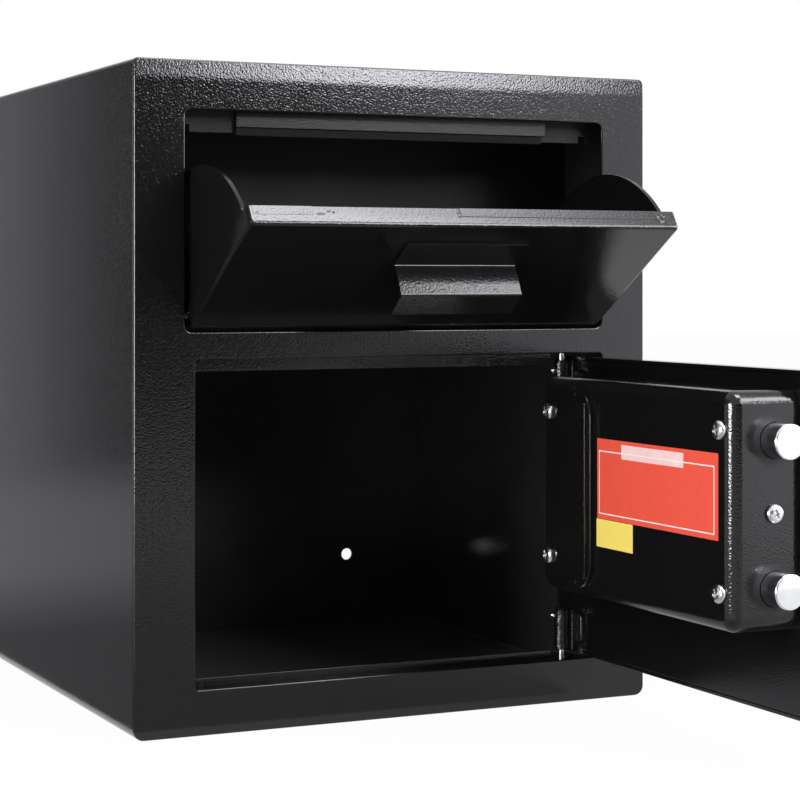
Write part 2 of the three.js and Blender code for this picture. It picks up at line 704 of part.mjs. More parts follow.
function bafflePlate() {
  const front = pivot.y - CHEEK_CENTRE_FORWARD + cheekRadius + BAFFLE_CLEARANCE;
  const x = grown([LEFT, RIGHT], -SHELL_SHEET - SEAT_GAP);
  const z = [pivot.z + BAFFLE_BOTTOM_RISE, TOP - SHELL_SHEET - SEAT_GAP];
  return mesh(
    "baffle_plate",
    texturedPaint,
    joined(
      block(x, [front, front + BAFFLE_SHEET], z),
      block(x, [front, front + BAFFLE_FLANGE], [z[1] - BAFFLE_SHEET, z[1]]),
    ),
  );
}

function cabinetGroup() {
  const group = new THREE.Group();
  group.add(
    bodyShell(),
    backPlate(),
    frontFrame(),
    doorStop(),
    hingeLug("hinge_lug_top", topLugZ),
    hingeLug("hinge_lug_bottom", bottomLugZ),
    hingePin("hinge_pin_top", [topBarrelZ[0], topLugZ[1] + HINGE_PIN_PROUD]),
    hingePin("hinge_pin_bottom", [bottomLugZ[0] - HINGE_PIN_PROUD, bottomBarrelZ[1]]),
    floorMat(),
    drawerStop(),
    drawerBumper(),
    pivotBracket("pivot_bracket_left", -1),
    pivotBracket("pivot_bracket_right", 1),
    bafflePlate(),
  );
  return group;
}

function drawerFront() {
  const rims = pan(drawer.x, drawer.y, drawer.z, DRAWER_FACE_SHEET, DRAWER_RIM_SHEET, DRAWER_BEND);
  const notches = drawer.x.map((end) => {
    const inward = end - Math.sign(end) * DRAWER_NOTCH_WIDTH;
    const outward = end + Math.sign(end) * OVERRUN;
    return block(
      ordered(inward, outward),
      [drawer.y[0] + DRAWER_FACE_SHEET, drawer.y[1] + OVERRUN],
      [drawer.z[0] - OVERRUN, DRAWER_NOTCH_RISE],
    );
  });
  return mesh("drawer_front", texturedPaint, cutBy(rims, ...notches));
}

function drawerLiner() {
  const x = grown([-cheekInner, cheekInner], -SEAT_GAP);
  const y = [drawer.y[1] - SEAT_GAP - LINER_SHEET, drawer.y[1] - SEAT_GAP];
  const z = grown(drawer.z, -DRAWER_RIM_SHEET - SEAT_GAP);
  const headRoom = [z[0] - OVERRUN, PIVOT_HEAD_DIAMETER / 2 + SEAT_GAP];
  const notches = x.map((end) => {
    const inward = end - Math.sign(end) * (PIVOT_HEAD_THICKNESS + SEAT_GAP);
    return block(ordered(inward, end + Math.sign(end) * OVERRUN), grown(y, OVERRUN), headRoom);
  });
  return mesh("drawer_liner", texturedPaint, cutBy(block(x, y, z), ...notches));
}

// The scoop slopes down from its start; this is the distance along it to the cheeks' round edge.
const slopeDown = new THREE.Vector2(Math.cos(SCOOP_SLOPE), -Math.sin(SCOOP_SLOPE));
const slopeUp = new THREE.Vector2(Math.sin(SCOOP_SLOPE), Math.cos(SCOOP_SLOPE));
const scoopStart = new THREE.Vector2(SCOOP_START_BACK, SCOOP_START_RISE);
const cheekCentre = new THREE.Vector2(-CHEEK_CENTRE_FORWARD, CHEEK_CENTRE_RISE);

function reachToRound(start) {
  const from = start.clone().sub(cheekCentre);
  const along = from.dot(slopeDown);
  return Math.sqrt(along * along - from.lengthSq() + cheekRadius * cheekRadius) - along;
}

function cheek(name, side) {
  const lower = scoopStart.clone().addScaledVector(slopeUp, -SCOOP_SHEET - SCOOP_CHEEK_MARGIN);
  const end = lower.clone().addScaledVector(slopeDown, reachToRound(lower));
  const first = Math.acos((CHEEK_CENTRE_FORWARD + SEAT_GAP) / cheekRadius);
  const last = Math.asin((end.y - CHEEK_CENTRE_RISE) / cheekRadius);
  const outline = new THREE.Shape();
  outline.absarc(0, 0, CHEEK_LOBE_RADIUS, -SCOOP_SLOPE, Math.PI / 2, true);
  outline.lineTo(SEAT_GAP, CHEEK_LOBE_RADIUS);
  outline.absarc(cheekCentre.x, cheekCentre.y, cheekRadius, first, last, true);
  outline.closePath();
  const x = ordered(side * cheekInner, side * cheekOuter);
  const plate = prism(outline, "x", x, 0, CHEEK_ARC_STEPS);
  const hole = rod(PIVOT_PIN_DIAMETER + 2 * PIVOT_PLAY, "x", grown(x, OVERRUN), 0, 0);
  return mesh(name, texturedPaint, cutBy(plate, hole));
}

function scoopPlate() {
  const length = reachToRound(scoopStart) - SCOOP_END_MARGIN;
  const far = scoopStart.clone().addScaledVector(slopeDown, length);
  const under = [far, scoopStart].map((at) => at.clone().addScaledVector(slopeUp, -SCOOP_SHEET));
  const outline = polygon([scoopStart, far, ...under].map((at) => [at.x, at.y]));
  const x = grown([-cheekInner, cheekInner], -SEAT_GAP);
  return mesh("scoop_plate", texturedPaint, prism(outline, "x", x));
}

function drawerPull() {
  const face = drawer.y[0] - SEAT_GAP;
  const out = face - PULL_REACH;
  const top = drawer.z[1] - PULL_TOP_DROP;
  const shelf = top - PULL_FLANGE_HEIGHT;
  const outline = polygon([
    [face, top],
    [face, shelf],
    [out + PULL_SHEET, shelf],
    [out - PULL_LIP_LEAN + PULL_SHEET, shelf - PULL_LIP_HEIGHT],
    [out - PULL_LIP_LEAN, shelf - PULL_LIP_HEIGHT],
    [out, shelf + PULL_SHEET],
    [face - PULL_SHEET, shelf + PULL_SHEET],
    [face - PULL_SHEET, top],
  ]);
  return mesh("drawer_pull", texturedPaint, prism(outline, "x", about(PULL_OFFSET, PULL_WIDTH)));
}

function pivotPin(name, side) {
  const outer = bracketFaces(side).outer + side * PIVOT_PIN_PROUD;
  const head = side * (cheekInner - SEAT_GAP);
  return mesh(
    name,
    zincPlate,
    joined(
      rod(PIVOT_PIN_DIAMETER, "x", ordered(outer, head - (side * PIVOT_HEAD_THICKNESS) / 2), 0, 0),
      rod(PIVOT_HEAD_DIAMETER, "x", ordered(head, head - side * PIVOT_HEAD_THICKNESS), 0, 0),
    ),
  );
}

function drawerGroup() {
  const group = new THREE.Group();
  group.position.set(0, pivot.y, pivot.z);
  group.rotation.x = DRAWER_OPEN_ANGLE;
  group.add(
    drawerFront(),
    drawerLiner(),
    cheek("drawer_cheek_left", -1),
    cheek("drawer_cheek_right", 1),
    scoopPlate(),
    drawerPull(),
    pivotPin("pivot_pin_left", -1),
    pivotPin("pivot_pin_right", 1),
  );
  return group;
}

const spindleHole = SPINDLE_DIAMETER + 2 * SPINDLE_PLAY;
const lockHole = LOCK_DIAMETER + 2 * LOCK_PLAY;

function doorHoles(y) {
  return [
    rod(spindleHole, "y", grown(y, OVERRUN), knob.x, knob.z),
    rod(lockHole, "y", grown(y, OVERRUN), lock.x, lock.z),
  ];
}

function doorPan() {
  const body = pan(door.x, door.y, door.z, DOOR_FACE_SHEET, DOOR_RIM_SHEET, DOOR_BEND);
  return mesh("door_pan", texturedPaint, cutBy(body, ...doorHoles([door.y[0], door.y[0] + DOOR_FACE_SHEET])));
}

function doorInnerPlate() {
  const inset = -DOOR_RIM_SHEET - SEAT_GAP;
  const y = [door.y[1] - DOOR_INNER_SHEET, door.y[1]];
  return mesh(
    "door_inner_plate",
    smoothPaint,
    cutBy(block(grown(door.x, inset), y, grown(door.z, inset)), ...doorHoles(y)),
  );
}

function hingeBarrel(name, z) {
  const leafFront = door.y[1] + SEAT_GAP;
  const barrel = rod(HINGE_BARREL_DIAMETER, "z", z, 0, 0, ROUND_SIDES);
  const leaf = block([-HINGE_LEAF_LEFT, HINGE_LEAF_RIGHT], [leafFront, leafFront + HINGE_LEAF_SHEET], z);
  const bore = rod(HINGE_PIN_DIAMETER + 2 * HINGE_PIN_PLAY, "z", grown(z, OVERRUN), 0, 0);
  return mesh(name, texturedPaint, cutBy(joined(barrel, leaf), bore));
}

const faceScrews = {
  upper_left: [cover.x[0] + COVER_SCREW_INSET_X, cover.z[1] - COVER_SCREW_INSET_Z],
  upper_right: [cover.x[1] - COVER_SCREW_INSET_X, cover.z[1] - COVER_SCREW_INSET_Z],
  lower_left: [cover.x[0] + COVER_SCREW_INSET_X, cover.z[0] + COVER_SCREW_INSET_Z],
  lower_right: [cover.x[1] - COVER_SCREW_INSET_X, cover.z[0] + COVER_SCREW_INSET_Z],
};
const endScrew = [door.y[1] + END_SCREW_SETBACK, middle(cover.z) - END_SCREW_DROP];
const screwHole = SCREW_SHANK_DIAMETER + 2 * SCREW_HOLE_PLAY;

const batteryCoverX = [
  cover.x[1] - BATTERY_COVER_HINGE_INSET - BATTERY_COVER_WIDTH,
  cover.x[1] - BATTERY_COVER_HINGE_INSET,
];
const holderX = about(middle(batteryCoverX), HOLDER_WIDTH);
const holderZ = about(middle(cover.z), HOLDER_HEIGHT);

function lockCover() {
  const shell = pressedCover(cover.x, cover.y, cover.z, COVER_SHEET, COVER_CORNER, COVER_EDGE);
  const face = grown([cover.y[1] - COVER_SHEET, cover.y[1]], OVERRUN);
  const end = grown([cover.x[0], cover.x[0] + COVER_SHEET], OVERRUN);
  const boltHole = BOLT_DIAMETER + 2 * BOLT_HOLE_PLAY;
  const boltHoles = [-1, 1].map((side) =>
    rod(boltHole, "x", end, boltY, boltsMiddle + (side * BOLT_SPACING) / 2, ROUND_SIDES),
  );
  const screwHoles = Object.values(faceScrews).map(([x, z]) => rod(screwHole, "y", face, x, z));
  const window = block(grown(holderX, HOLDER_WINDOW_PLAY), face, grown(holderZ, HOLDER_WINDOW_PLAY));
  return mesh(
    "lock_cover",
    texturedPaint,
    cutBy(shell, ...boltHoles, ...screwHoles, rod(screwHole, "x", end, ...endScrew), window),
  );
}

// A screw through a seat at a place on an axis; its head stands out towards the side given by the sign.
function screw(name, axis, seat, sign, u, v) {
  const radius = SCREW_HEAD_DIAMETER / 2;
  const shank = SCREW_SHANK_DIAMETER / 2;
  const foot = seat + sign * SEAT_GAP;
  const crown = foot + sign * SCREW_HEAD_HEIGHT;
  const head = turned(
    [
      [0, seat - sign * SCREW_SHANK_LENGTH],
      [shank, seat - sign * SCREW_SHANK_LENGTH],
      [shank, foot],
      [radius, foot],
      [radius, foot + sign * SCREW_RIM_SHARE * SCREW_HEAD_HEIGHT],
      [SCREW_CROWN_SHARE * radius, crown],
      [0, crown],
    ],
    axis,
    u,
    v,
    PIN_SIDES,
  );
  const deep = ordered(crown - sign * SCREW_RECESS_DEPTH, crown + sign * OVERRUN);
  const cross = [
    [SCREW_RECESS_LENGTH, SCREW_RECESS_WIDTH],
    [SCREW_RECESS_WIDTH, SCREW_RECESS_LENGTH],
  ].map(([wide, high]) => prism(rectangle(about(u, wide), about(v, high)), axis, deep));
  return mesh(name, zincPlate, cutBy(head, ...cross));
}

function batteryHolder() {
  const y = [cover.y[1] - HOLDER_DEPTH, cover.y[1]];
  const body = block(holderX, y, holderZ);
  const bayX = (span(holderX) - 2 * HOLDER_WALL - HOLDER_RIB) / 2;
  const bays = [-1, 1].map((side) =>
    block(
      about(middle(holderX) + (side * (bayX + HOLDER_RIB)) / 2, bayX),
      [y[0] + HOLDER_WALL, y[1] + OVERRUN],
      grown(holderZ, -HOLDER_WALL),
    ),
  );
  return mesh("battery_holder", blackPlastic, cutBy(body, ...bays));
}

function batteryCover() {
  const y = [cover.y[1] + SEAT_GAP, cover.y[1] + BATTERY_COVER_PROUD];
  const z = grown(cover.z, -BATTERY_COVER_MARGIN);
  return mesh(
    "battery_cover",
    smoothPaint,
    pressedCover(batteryCoverX, y, z, BATTERY_COVER_SHEET, BATTERY_COVER_CORNER, BATTERY_COVER_EDGE),
  );
}

const redLabel = {
  x: [cover.x[0] + RED_LABEL_MARGIN, cover.x[0] + RED_LABEL_MARGIN + RED_LABEL_WIDTH],
  z: [cover.z[1] - RED_LABEL_TOP_DROP - RED_LABEL_HEIGHT, cover.z[1] - RED_LABEL_TOP_DROP],
};
const labelY = [cover.y[1] + LABEL_GAP, cover.y[1] + LABEL_GAP + LABEL_SHEET];

function labels() {
  const right = redLabel.x[1] + YELLOW_LABEL_PAST;
  const top = redLabel.z[0] - SEAT_GAP;
  return [
    mesh("red_label", redPaper, block(redLabel.x, labelY, redLabel.z)),
    mesh(
      "yellow_label",
      yellowPaper,
      block([right - YELLOW_LABEL_WIDTH, right], labelY, [top - YELLOW_LABEL_HEIGHT, top]),
    ),
  ];
}

function bolt(name, side) {
  const radius = BOLT_DIAMETER / 2;
  const profile = [
    [0, boltTip],
    [radius - BOLT_EDGE, boltTip],
    [radius, boltTip + BOLT_EDGE],
    [radius, boltEnd],
    [0, boltEnd],
  ];
  return mesh(name, chromePlate, turned(profile, "x", boltY, boltsMiddle + (side * BOLT_SPACING) / 2));
}

const solenoid = { x: knob.x - SOLENOID_OFFSET, z: knob.z - SOLENOID_OFFSET };

function boltBar() {
  const left = boltEnd + SEAT_GAP;
  const ends = about(boltsMiddle, BOLT_SPACING + BAR_TAB_WIDTH);
  const strip = block([left, left + BAR_STRIP_WIDTH], barY, ends);
  const arm = block([left, knob.x + BAR_ARM_REACH], barY, [knob.z - BAR_ARM_DROP, knob.z + BAR_ARM_RISE]);
  const tabs = [-1, 1].map((side) =>
    block(
      [left, left + BAR_SHEET],
      about(boltY, BAR_TAB_WIDTH),
      about(boltsMiddle + (side * BOLT_SPACING) / 2, BAR_TAB_WIDTH),
    ),
  );
  const pinRoom = CAM_PIN_DIAMETER / 2 + CAM_PIN_PLAY;
  const pinSlot = block(
    grown([knob.x - BOLT_THROW / 2, knob.x - BOLT_THROW / 2], pinRoom),
    grown(barY, OVERRUN),
    [knob.z + camRadius * Math.cos(KNOB_TURN / 2) - pinRoom, knob.z + camRadius + pinRoom],
  );
  const plungerRoom = PLUNGER_DIAMETER / 2 + PLUNGER_SLOT_PLAY;
  const plungerSlot = block(
    [solenoid.x - BOLT_THROW - plungerRoom, solenoid.x + plungerRoom],
    grown(barY, OVERRUN),
    grown([solenoid.z, solenoid.z], plungerRoom),
  );
  return mesh("bolt_bar", darkSteel, cutBy(joined(strip, arm, ...tabs), pinSlot, plungerSlot));
}

const camY = [barY[0] - CAM_BAR_GAP - CAM_THICKNESS, barY[0] - CAM_BAR_GAP];

const knobBack = door.y[0] - SEAT_GAP;
const knobFront = knobBack - KNOB_HEIGHT;

function turningKnob() {
  const radius = KNOB_DIAMETER / 2;
  const baseFront = knobBack - KNOB_BASE_HEIGHT;
  const profile = [
    [0, knobBack],
    [radius, knobBack],
    [radius, baseFront + KNOB_EDGE],
    [radius - KNOB_EDGE, baseFront],
    [0, baseFront],
  ];
  const base = turned(profile, "y", knob.x, knob.z);
  const grip = prism(
    rounded(about(knob.x, KNOB_GRIP_WIDTH), about(knob.z, KNOB_DIAMETER - 2 * KNOB_EDGE), KNOB_GRIP_WIDTH / 3),
    "y",
    [knobFront, middle([baseFront, knobBack])],
    KNOB_EDGE,
  );
  const bore = rod(spindleHole, "y", [knobFront + KNOB_FRONT_WALL, knobBack + OVERRUN], knob.x, knob.z);
  return mesh("turning_knob", blackPlastic, cutBy(joined(base, grip), bore));
}

// The spindle carries the cam, whose pin stands in the bar's slot.
function knobSpindle() {
  const tip = { x: knob.x + camRadius * Math.cos(camAngle), z: knob.z + camRadius * Math.sin(camAngle) };
  const lean = Math.acos((CAM_HUB_RADIUS - CAM_TIP_RADIUS) / camRadius);
  const outline = new THREE.Shape();
  outline.absarc(knob.x, knob.z, CAM_HUB_RADIUS, camAngle + lean, camAngle - lean + 2 * Math.PI);
  outline.absarc(tip.x, tip.z, CAM_TIP_RADIUS, camAngle - lean, camAngle + lean);
  outline.closePath();
  return mesh(
    "knob_spindle",
    zincPlate,
    joined(
      rod(SPINDLE_DIAMETER, "y", [knobFront + KNOB_FRONT_WALL + SEAT_GAP, middle(camY)], knob.x, knob.z),
      prism(outline, "y", camY, 0, CAM_STEPS),
      rod(CAM_PIN_DIAMETER, "y", [middle(camY), barY[1] + CAM_PIN_PROUD], tip.x, tip.z),
    ),
  );
}

const solenoidY = [cover.y[1] - COVER_SHEET - SEAT_GAP - SOLENOID_LENGTH, cover.y[1] - COVER_SHEET - SEAT_GAP];

function solenoidBody() {
  const body = block(about(solenoid.x, SOLENOID_SIDE), solenoidY, about(solenoid.z, SOLENOID_SIDE));
  const bore = rod(
    PLUNGER_DIAMETER + 2 * PLUNGER_PLAY,
    "y",
    [solenoidY[0] - OVERRUN, solenoidY[1] - SOLENOID_BORE_END],
    solenoid.x,
    solenoid.z,
  );
  return mesh("solenoid_body", darkSteel, cutBy(body, bore));
}

function solenoidPlunger() {
  const tip = barY[1] - PLUNGER_REACH;
  return mesh(
    "solenoid_plunger",
    zincPlate,
    rod(PLUNGER_DIAMETER, "y", [tip, tip + PLUNGER_LENGTH], solenoid.x, solenoid.z),
  );
}

const keyX = (column) => middle(keypad.x) + (column - (KEY_COLUMNS - 1) / 2) * KEY_PITCH_X;
const keyZ = (row) => keypad.z[1] - KEY_TOP_MARGIN - row * KEY_PITCH_Z;
const cavityX = grown(keypad.x, -KEYPAD_WALL);
const cavityZ = grown(keypad.z, -KEYPAD_WALL);
const cavityY = [keypad.y[0] + KEYPAD_FACE, keypad.y[1]];
const lightZ = keypad.z[1] - LIGHT_TOP_MARGIN;

function keypadHousing() {
  const shell = pan(keypad.x, keypad.y, keypad.z, KEYPAD_FACE, KEYPAD_WALL, KEYPAD_EDGE);
  const through = grown([keypad.y[0], cavityY[0]], OVERRUN);
  const keyHoles = [];
  for (let row = 0; row < KEY_ROWS; row++) {
    for (let column = 0; column < KEY_COLUMNS; column++) {
      keyHoles.push(
        block(
          about(keyX(column), KEY_WIDTH + 2 * KEY_PLAY),
          through,
          about(keyZ(row), KEY_HEIGHT + 2 * KEY_PLAY),
        ),
      );
    }
  }
  return mesh(
    "keypad_housing",
    blackPlastic,
    cutBy(
      shell,
      ...keyHoles,
      rod(LIGHT_DIAMETER + 2 * KEY_PLAY, "y", through, middle(keypad.x), lightZ),
      rod(lockHole, "y", through, lock.x, lock.z),
    ),
  );
}

function keypadKey(row, column) {
  const front = keypad.y[0] - KEY_PROUD;
  const flange = [cavityY[0] + KEY_PLAY, cavityY[0] + KEY_PLAY + KEY_FLANGE];
  const [x, z] = [keyX(column), keyZ(row)];
  const cap = prism(
    rounded(about(x, KEY_WIDTH), about(z, KEY_HEIGHT), 2 * KEY_EDGE),
    "y",
    [front, flange[1]],
    KEY_EDGE,
    1,
  );
  const foot = block(about(x, KEY_WIDTH + 2 * KEY_FLANGE), flange, about(z, KEY_HEIGHT + 2 * KEY_FLANGE));
  return mesh("key_" + (row * KEY_COLUMNS + column + 1), greyPlastic, joined(cap, foot));
}

function circuitBoard() {
  const y = [keypad.y[1] - BOARD_SETBACK - BOARD_SHEET, keypad.y[1] - BOARD_SETBACK];
  const z = [lock.z + BOARD_LOCK_MARGIN, cavityZ[1] - SEAT_GAP];
  return mesh("circuit_board", boardGreen, block(grown(cavityX, -SEAT_GAP), y, z));
}

function statusLight() {
  const front = keypad.y[0] - LIGHT_PROUD;
  return mesh(
    "status_light",
    lightGreen,
    rod(LIGHT_DIAMETER, "y", [front, front + LIGHT_LENGTH], middle(keypad.x), lightZ),
  );
}

const lockFront = keypad.y[0] - LOCK_PROUD;
const lockBack = door.y[1] + LOCK_REACH;

function lockBarrel() {
  const y = [lockFront, lockBack];
  const barrel = rod(LOCK_DIAMETER, "y", y, lock.x, lock.z, ROUND_SIDES);
  const bore = rod(PLUG_DIAMETER + 2 * LOCK_PLAY, "y", grown(y, OVERRUN), lock.x, lock.z, ROUND_SIDES);
  return mesh("lock_barrel", zincPlate, cutBy(barrel, bore));
}

function lockPlug() {
  const front = lockFront + PLUG_SINK;
  const tail = [lockBack + SEAT_GAP, lockBack + SEAT_GAP + TAIL_SHEET];
  const plug = rod(PLUG_DIAMETER, "y", [front, tail[1]], lock.x, lock.z, ROUND_SIDES);
  const lever = block([lock.x, lock.x + TAIL_LENGTH], tail, about(lock.z, TAIL_WIDTH));
  const keyway = block(
    about(lock.x, KEYWAY_WIDTH),
    [front - OVERRUN, front + KEYWAY_DEPTH],
    about(lock.z, KEYWAY_LENGTH),
  );
  return mesh("lock_plug", zincPlate, cutBy(joined(plug, lever), keyway));
}

function doorGroup() {
  const group = new THREE.Group();
  group.position.set(hinge.x, hinge.y, 0);
  group.rotation.z = DOOR_OPEN_ANGLE;
  group.add(
    doorPan(),
    doorInnerPlate(),
    hingeBarrel("hinge_barrel_top", topBarrelZ),
    hingeBarrel("hinge_barrel_bottom", bottomBarrelZ),
    lockCover(),
    ...Object.entries(faceScrews).map(([place, at]) => screw("screw_" + place, "y", cover.y[1], 1, ...at)),
    screw("screw_end", "x", cover.x[0], -1, ...endScrew),
    batteryHolder(),
    batteryCover(),
    ...labels(),
    bolt("bolt_lower", -1),
    bolt("bolt_upper", 1),
    boltBar(),
    turningKnob(),
    knobSpindle(),
    solenoidBody(),
    solenoidPlunger(),
    keypadHousing(),
    circuitBoard(),
    statusLight(),
    lockBarrel(),
    lockPlug(),
  );
  for (let row = 0; row < KEY_ROWS; row++) {
    for (let column = 0; column < KEY_COLUMNS; column++) group.add(keypadKey(row, column));
  }
  return group;
}

const safe = new THREE.Group();
safe.name = "drop_safe";
safe.add(cabinetGroup(), drawerGroup(), doorGroup());

export default safe;
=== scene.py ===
import json
import math

import bmesh
import bpy
from mathutils import Euler, Matrix, Vector


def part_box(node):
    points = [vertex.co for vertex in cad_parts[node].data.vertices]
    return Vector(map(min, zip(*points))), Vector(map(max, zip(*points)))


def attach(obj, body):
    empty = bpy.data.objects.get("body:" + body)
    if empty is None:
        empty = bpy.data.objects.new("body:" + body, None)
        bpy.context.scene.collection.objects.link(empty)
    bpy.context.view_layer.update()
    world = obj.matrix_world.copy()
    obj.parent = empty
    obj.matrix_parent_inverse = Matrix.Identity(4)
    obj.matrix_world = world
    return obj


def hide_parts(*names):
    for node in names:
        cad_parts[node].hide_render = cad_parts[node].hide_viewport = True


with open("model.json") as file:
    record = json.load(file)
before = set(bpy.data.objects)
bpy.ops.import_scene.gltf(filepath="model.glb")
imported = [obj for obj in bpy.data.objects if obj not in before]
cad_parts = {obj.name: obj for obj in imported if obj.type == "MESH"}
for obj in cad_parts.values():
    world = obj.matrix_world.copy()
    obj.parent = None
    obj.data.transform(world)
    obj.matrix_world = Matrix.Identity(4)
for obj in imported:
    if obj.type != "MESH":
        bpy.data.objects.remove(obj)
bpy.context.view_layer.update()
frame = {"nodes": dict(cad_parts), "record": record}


# Cabinet wrap: one steel sheet folded round the four sides and welded at a corner. It is sprayed with
# black powder that cures to a glossy orange-peel grain. Inside, its colour is painted paler in
# patches: painted light that lifts the dim inside.
MM = 0.001


def mm(*values):
    """The values, given in millimetres, in metres."""
    return [value * MM for value in values]


class Wire:
    """One output of a shader node. Arithmetic on it adds Math nodes to the same material."""

    def __init__(self, tree, socket=None):
        self.tree = tree
        self.socket = socket

    def node(self, kind, settings=None, inputs=None, output=0):
        made = self.tree.nodes.new(kind)
        for name, value in (settings or {}).items():
            setattr(made, name, value)
        for name, value in (inputs or {}).items():
            if isinstance(value, Wire):
                self.tree.links.new(value.socket, made.inputs[name])
            else:
                made.inputs[name].default_value = value
        return Wire(self.tree, made.outputs[output])

    def math(self, operation, *values):
        return self.node("ShaderNodeMath", {"operation": operation}, dict(enumerate(values)))

    def __add__(self, other):
        return self.math("ADD", self, other)

    __radd__ = __add__

    def __sub__(self, other):
        return self.math("SUBTRACT", self, other)

    def __rsub__(self, other):
        return self.math("SUBTRACT", other, self)

    def __mul__(self, other):
        return self.math("MULTIPLY", self, other)

    __rmul__ = __mul__

    def step(self, low, high):
        """0 at low, 1 at high, and a smooth rise between them."""
        return self.node("ShaderNodeMapRange", {"interpolation_type": "SMOOTHSTEP"},
                         {"Value": self, "From Min": low, "From Max": high})

    def axis(self, letter):
        return self.node("ShaderNodeSeparateXYZ", None, {0: self}, letter)

    def within(self, low, high, soft):
        """1 between low and high, and 0 outside, with edges as soft as given."""
        risen = self.step(low - soft / 2, low + soft / 2)
        return risen * (1 - self.step(high - soft / 2, high + soft / 2))

    def noise(self, scale, detail=2.0, roughness=0.5):
        return self.node("ShaderNodeTexNoise", None,
                         {"Vector": self, "Scale": scale, "Detail": detail, "Roughness": roughness})

    def blend(self, low, high):
        """The colour low where the wire is 0, and high where it is 1."""
        inputs = {0: self}
        for index, colour in ((6, low), (7, high)):
            inputs[index] = colour if isinstance(colour, Wire) else (*colour, 1.0)
        return self.node("ShaderNodeMix", {"data_type": "RGBA"}, inputs, 2)

    def bump(self, strength, distance):
        return self.node("ShaderNodeBump", None,
                         {"Height": self, "Strength": strength, "Distance": distance})


class Finish:
    """A material, with the piece's own coordinates as a wire."""

    def __init__(self, name, **constants):
        self.material = bpy.data.materials.new(name)
        self.material.use_nodes = True
        self.tree = self.material.node_tree
        self.shader = self.tree.nodes["Principled BSDF"]
        for socket, value in constants.items():
            self.shader.inputs[socket.replace("_", " ")].default_value = value
        self.place = Wire(self.tree).node("ShaderNodeTexCoord", output="Object")

    def feed(self, **wires):
        for socket, wire in wires.items():
            self.tree.links.new(wire.socket, self.shader.inputs[socket.replace("_", " ")])


BEAD = 1.15 * MM
PATCHES_PER_METRE = 14
COAT_DARK = (0.0038, 0.0038, 0.004)
COAT_PALE = (0.0068, 0.0068, 0.0072)
COAT_GLOSS = 0.05


def grained(name, dark, pale, gloss, depth, bead=BEAD, **constants):
    """A skin of beads of about the given size, which run together into an orange-peel grain."""
    finish = Finish(name, **constants)
    swell = finish.place.noise(1 / bead, 1, 0.4)
    domes = finish.place.node("ShaderNodeTexVoronoi", {"feature": "F1"},
                              {"Vector": finish.place, "Scale": 0.8 / bead, "Randomness": 1.0})
    patches = finish.place.noise(PATCHES_PER_METRE, 3)
    height = swell.step(0.25, 0.75) * 0.6 - domes * domes + patches * (2 * bead / MM)
    finish.feed(
        Base_Color=(swell.step(0.42, 0.7) * 0.6 + patches * 0.4).blend(dark, pale),
        Roughness=patches.step(0.3, 0.7) * 0.03 + swell * 0.03 + gloss,
        Normal=height.bump(1.0, depth),
    )
    return finish


def black_coat(name, depth, gloss=COAT_GLOSS, specular=0.38):
    """The cabinet's black powder coat."""
    return grained(name, COAT_DARK, COAT_PALE, gloss, depth, Specular_IOR_Level=specular)


def painted_light_inside(coat, inside, outer, inner):
    """Gives the coat the colour outer, and in patches the paler colour inner where inside is 1, as painted
    light.
    """
    patches = coat.place.noise(30, 3)
    coat.feed(Base_Color=(inside * (patches * 0.5 + 0.5)).blend(outer, inner))


body_of = {}
for body, members in frame["record"]["behaviour"]["bodies"].items():
    for member in members:
        body_of[member] = body


def placed(piece, finish, *nodes):
    """The piece gets its finish, stands for the nodes, and moves with their body."""
    piece.data.materials.clear()
    piece.data.materials.append(finish.material)
    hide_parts(*nodes)
    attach(piece, body_of[nodes[0]])
    return piece


def shaded(piece, edge=0.0, segments=2, least_angle=32, clamp=True):
    """Rounds the piece's sharp edges by a bevel, and keeps its flat faces flat."""
    for face in piece.data.polygons:
        face.use_smooth = True
    if edge:
        bevel = piece.modifiers.new("edges", "BEVEL")
        bevel.width = edge
        bevel.segments = segments
        bevel.limit_method = "ANGLE"
        bevel.angle_limit = math.radians(least_angle)
        bevel.miter_outer = "MITER_ARC"
        bevel.use_clamp_overlap = clamp
    else:
        piece.data.set_sharp_from_angle(angle=math.radians(least_angle))
    weighted = piece.modifiers.new("normals", "WEIGHTED_NORMAL")
    weighted.keep_sharp = True
    return piece


def from_bmesh(name, work):
    """An object in the scene from the mesh under work, which is dropped."""
    bmesh.ops.recalc_face_normals(work, faces=work.faces)
    mesh = bpy.data.meshes.new(name)
    work.to_mesh(mesh)
    work.free()
    piece = bpy.data.objects.new(name, mesh)
    bpy.context.collection.objects.link(piece)
    return piece


SAME_POINT = 0.002 * MM
SAME_PLANE = math.radians(0.6)


def softened(node, finish, edge, segments=2, shape=None, clamp=True):
    """A copy of a sheet-metal or moulded node whose edges are rounded over."""
    work = bmesh.new()
    work.from_mesh(frame["nodes"][node].data)
    bmesh.ops.remove_doubles(work, verts=work.verts, dist=SAME_POINT)
    if edge:
        bmesh.ops.dissolve_limit(work, angle_limit=SAME_PLANE, verts=work.verts, edges=work.edges)
    if shape:
        shape(work)
    return shaded(placed(from_bmesh(node + "_soft", work), finish, node), edge, segments, clamp=clamp)


HALF_INSIDE = 192.5 * MM
FLOOR_AND_CEILING = mm(2.2, 447.8)
INSIDE_SOFT = 1 * MM
FINE_DEPTH = 0.04 * MM
PLATE_EDGE = 0.5 * MM
shell_coat = black_coat("shell_powder_coat", FINE_DEPTH)
inside = (shell_coat.place.axis("X").within(-HALF_INSIDE, HALF_INSIDE, INSIDE_SOFT) *
          shell_coat.place.axis("Z").within(*FLOOR_AND_CEILING, INSIDE_SOFT))
# Painted light: inside the wrap the colour is lifted from near black to dark grey, in patches.
painted_light_inside(shell_coat, inside, (0.005, 0.005, 0.0053), (0.1, 0.1, 0.102))
softened("body_shell", shell_coat, PLATE_EDGE)
